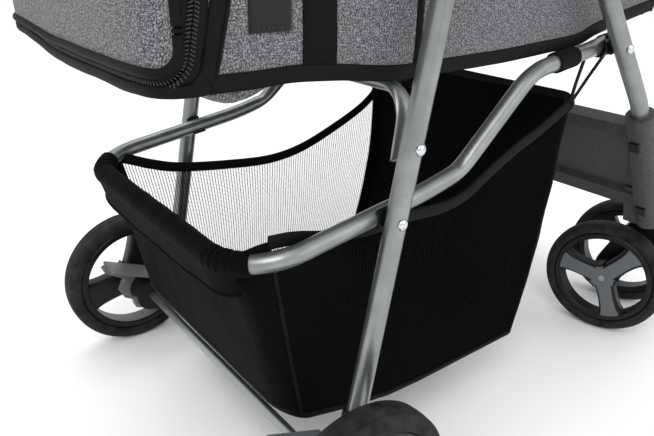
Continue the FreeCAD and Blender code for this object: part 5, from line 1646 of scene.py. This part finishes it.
@dataclass
class Hood:
    """The hood: two continuous curved sheets over two bows, with a dark rear panel."""

    finishes: Finishes
    pivot: tuple = (-150.0, 632.0)
    radius: float = 272.0
    half_width: float = 151.0
    corner: float = 52.0
    hub: float = 16.0
    rear_angle: float = 4.0
    mid_angle: float = 119.0
    front_angle: float = 175.0
    panel: tuple = (30.0, 78.0, 0.37, 0.63)

    def bow_line(self, count: int = 90, inset: float = 0.0) -> Array:
        """The hood's section: up one cheek, over the top and down the other.

        Returns:
            Places of two numbers: X, and the distance from the pivot line.
        """
        w, r = self.half_width - inset, self.radius - inset
        line = bent([(-w, self.hub, 0), (-w, r, 0), (w, r, 0), (w, self.hub, 0)], [self.corner] * 2, 3.0)
        return even(line[:, :2], count)

    def grid(self, low: float, high: float, dip: float, first: float = 0.0, last: float = 1.0,
             lift: float = 0.0, count: tuple = (60, 90)) -> Array:
        """A hood panel.

        The section turns about the pivot line from one angle to the other. Between two
        bows the distance from the pivot dips by a sine, as cloth does between supports.

        Args:
            low: the angle at its rear edge, above the rear horizontal.
            high: the angle at its front edge.
            dip: how deep the cloth sinks between the bows.
            first: share of the section where it starts.
            last: share of the section where it ends.
            lift: how far it stands out from the hood.
            count: places from rear to front and along the section.

        Returns:
            A grid of places.
        """
        line = self.bow_line(721)
        line = even(line[int(first * 720): int(last * 720) + 1], count[1])
        share = np.linspace(0, 1, count[0])[:, None]
        angle = np.radians(low + share * (high - low))
        x, reach = line[None, :, 0], line[None, :, 1]
        crown = (reach / self.radius) ** 2
        sink = dip * np.sin(share * math.pi) * crown
        fold = 1.3 * soft_noise(share * 260 + 0 * x, x + reach, 42, 27) * crown
        reach = reach - sink + fold * 0.6 + lift
        wide = x * (1 - 0.02 * np.sin(share * math.pi) * (1 - crown)) + np.sign(x) * lift * (1 - crown)
        y = self.pivot[0] + reach * np.cos(angle)
        z = self.pivot[1] + reach * np.sin(angle)
        return np.stack([wide + 0 * reach, y, z], -1)

    def build(self) -> None:
        """Make both sheets, their bindings, the rear panel, the bows and the pivots."""
        rear = self.grid(self.rear_angle, self.mid_angle, 7.0, count=(110, 120))
        item = Mesh("hood_rear_sheet").grid(rear, flip=True).build(
            [self.finishes.melange], "root", ("canopy_rear",), "heather_fabric")
        thicken(item, 1.4)
        self.crumple(item)
        front = self.grid(self.mid_angle, self.front_angle, 6.0, count=(70, 120))
        item = Mesh("hood_front_sheet").grid(front, flip=True).build(
            [self.finishes.melange], None, ("canopy_front",), "heather_fabric")
        thicken(item, 1.4)
        self.follow_bow(item)
        trim = Mesh("hood_rear_bindings")
        for edge in (rear[0], rear[-1]):
            trim.grid(swept(even(edge, 200), ring_section(2.2, 5.0, 16, 2.6), (0.0, 0.0, 1.0)), True, True)
        window = self.window(*self.panel)
        trim.grid(swept(window, ring_section(1.6, 1.6, 10), (0.3, 0.5, 0.8)), True)
        item = trim.build([self.finishes.binding], "root", (), "black_fabric")
        self.crumple(item)
        low, high, first, last = self.panel
        mesh = self.grid(low, high, 0.0, first, last, 1.6, (40, 50))
        item = Mesh("hood_rear_window").grid(mesh, flip=True).build(
            [self.finishes.binding], "root", (), "mesh_fabric")
        thicken(item, 0.8)
        self.crumple(item)
        trim = Mesh("hood_front_binding")
        trim.grid(swept(even(front[-1], 200), ring_section(3.6, 5.6, 16, 2.6), (0.0, 0.0, 1.0)), True, True)
        item = trim.build([self.finishes.binding], None, (), "black_fabric")
        self.follow_bow(item)
        for name, angle, inset, body in (
            ("front", 176.0, 6.0, "hood_front"), ("mid", 120.0, 14.0, "hood_mid"),
        ):
            self.bow(name, angle, inset, body)
        self.pivots()

    def window(self, low: float, high: float, first: float, last: float) -> Array:
        """The closed line round a panel of the hood, given by two angles and two shares."""
        grid = self.grid(low, high, 0.0, first, last, 1.8, (40, 50))
        loop = np.vstack([grid[:, 0], grid[-1, 1:], grid[-2::-1, -1], grid[0, -2:0:-1]])
        return even(through(loop[::4], 400, True), 240)[:-1]

    def crumple(self, item: bpy.types.Object) -> None:
        """Give a piece its own copy of its mesh."""
        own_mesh(item)

    def follow_bow(self, item: bpy.types.Object) -> None:
        """Bake a piece's placement into its mesh."""
        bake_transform(item)

    def bow(self, name: str, angle: float, inset: float, body: str) -> None:
        """One steel bow in its plane through the pivot line."""
        w, r = self.half_width - inset - 0.5, self.radius - 6.0
        turn = math.radians(angle)
        flat = bent([(-w, 14, 0), (-w, r, 0), (w, r, 0), (w, 14, 0)], [46, 46], 4.0)
        line = np.stack([flat[:, 0], self.pivot[0] + flat[:, 1] * math.cos(turn),
                         self.pivot[1] + flat[:, 1] * math.sin(turn)], 1)
        up = (0.0, -math.sin(turn), math.cos(turn))
        Mesh(f"hood_bow_{name}").grid(swept(line, ring_section(3.5, 3.5, 16), up), True, True).build(
            [self.finishes.axle], body, (f"canopy_bow_{name}",), "axle_steel")

    def pivots(self) -> None:
        """Ratchet knobs at the hood's pivots: a disc with a knurled edge."""
        mesh = Mesh("hood_pivot_knobs")
        angle = np.linspace(0, 2 * math.pi, 72, endpoint=False)
        for side in Side:
            stations = np.array([
                (0.4, 10.0), (0.4, 11.5), (1.2, 12.2), (5.0, 12.2), (6.4, 11.0), (6.8, 8.0), (6.8, 0.05)])
            knurl = 1 + 0.03 * np.cos(angle * 18)[None, :] * (stations[:, 1] > 10)[:, None]
            reach = stations[:, 1][:, None] * knurl
            x = side.value * (self.half_width + stations[:, 0])[:, None] + 0 * reach
            y = self.pivot[0] + reach * np.cos(angle)
            z = self.pivot[1] + reach * np.sin(angle)
            mesh.grid(np.stack([x, y, z], -1), True, True, flip=side is Side.RIGHT)
        item = mesh.build([self.finishes.black], "root", ("canopy_pivots",), "black_plastic")
        sharpen(item, 50)


# ------------------------------------------------------------------ kept CAD nodes
@dataclass
class KeptParts:
    """The CAD nodes whose shape is right as it is: they only take a finish."""

    finishes: Finishes

    def build(self) -> None:
        """Give each kept node its material."""
        choice = {
            self.finishes.bridge: ["front_bridge"],
            self.finishes.black: [
                "bridge_caps", "hinge_lower", "hinge_upper", "leg_brackets", "brake_housings", "parent_tray",
                "hinge_latch_left", "hinge_latch_right"],
            self.finishes.pedal: ["brake_pedal_left", "brake_pedal_right"],
            self.finishes.axle: ["caster_axle_left", "caster_axle_right"],
        }
        for material, names in choice.items():
            for name in names:
                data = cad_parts[name].data
                data.materials.clear()
                data.materials.append(material)


# ------------------------------------------------------------------ stage
@dataclass
class Studio:
    """Floor, lights and camera."""

    lens: float = 35.27
    place: tuple = (-487.7, 233.3, 478.5)
    look: tuple = (0.7252, -0.5519, -0.4117)

    def build(self) -> None:
        """Set up the stage."""
        self.floor()
        self.lights()
        self.camera()
        bpy.context.scene.view_settings.view_transform = "Standard"

    def floor(self) -> None:
        """A wide plain white floor."""
        data = bpy.data.meshes.new("studio_floor")
        size = 30.0
        corners = [(-size, -size, 0), (size, -size, 0), (size, size, 0), (-size, size, 0)]
        data.from_pydata(corners, [], [(0, 1, 2, 3)])
        material, tree, shader = Finish("pale_floor", "#f7f7f7", 0.9).start()
        cloud = add_node(tree, "ShaderNodeTexNoise", inputs={"Scale": 0.6})
        shade = add_node(tree, "ShaderNodeValToRGB", inputs={"Fac": cloud.outputs["Fac"]})
        tree.links.new(ramp_of(shade, [(0.0, "#f5f5f5"), (1.0, "#fbfbfb")]), shader.inputs["Base Color"])
        data.materials.append(material)
        item = bpy.data.objects.new("studio_floor", data)
        bpy.context.scene.collection.objects.link(item)
        item.location.z = -0.0006

    def lights(self) -> None:
        """An even white surround and three large soft lamps."""
        world = bpy.data.worlds.new("studio")
        world.use_nodes = True
        world.node_tree.nodes["Background"].inputs["Color"].default_value = (1.0, 1.0, 1.0, 1.0)
        world.node_tree.nodes["Background"].inputs["Strength"].default_value = 1.0
        bpy.context.scene.world = world
        for name, place, aim, size, power in (
            ("key", (-1.6, 1.4, 2.4), (0, 0.1, 0.3), 1.6, 34),
            ("fill", (-2.4, -1.2, 1.4), (0, -0.1, 0.3), 2.0, 12),
            ("top", (0.6, 0.2, 3.2), (0, 0, 0.3), 2.4, 30),
        ):
            lamp = bpy.data.lights.new(name, "AREA")
            lamp.size = size
            lamp.energy = power
            item = bpy.data.objects.new(name, lamp)
            item.location = place
            item.rotation_euler = (Vector(aim) - Vector(place)).to_track_quat("-Z", "Y").to_euler()
            bpy.context.scene.collection.objects.link(item)

    def camera(self) -> None:
        """The camera behind and to the right of the stroller, looking forwards and down."""
        data = bpy.data.cameras.new("view")
        data.lens = self.lens
        data.sensor_width = 36.0
        item = bpy.data.objects.new("view", data)
        item.location = Vector(row(np.array(self.place)))
        item.rotation_euler = Vector(self.look).to_track_quat("-Z", "Y").to_euler()
        bpy.context.scene.collection.objects.link(item)
        bpy.context.scene.camera = item


def main() -> None:
    """Build the stage, then every sub-assembly in order."""
    logging.basicConfig(level=logging.INFO, format="%(message)s")
    finishes = Finishes()
    Studio().build()
    for assembly in (
        KeptParts(finishes), Frame(finishes), RunningGear(finishes),
        Basket(finishes), Cabin(finishes), Hood(finishes),
    ):
        assembly.build()


if __name__ == "__main__":
    main()
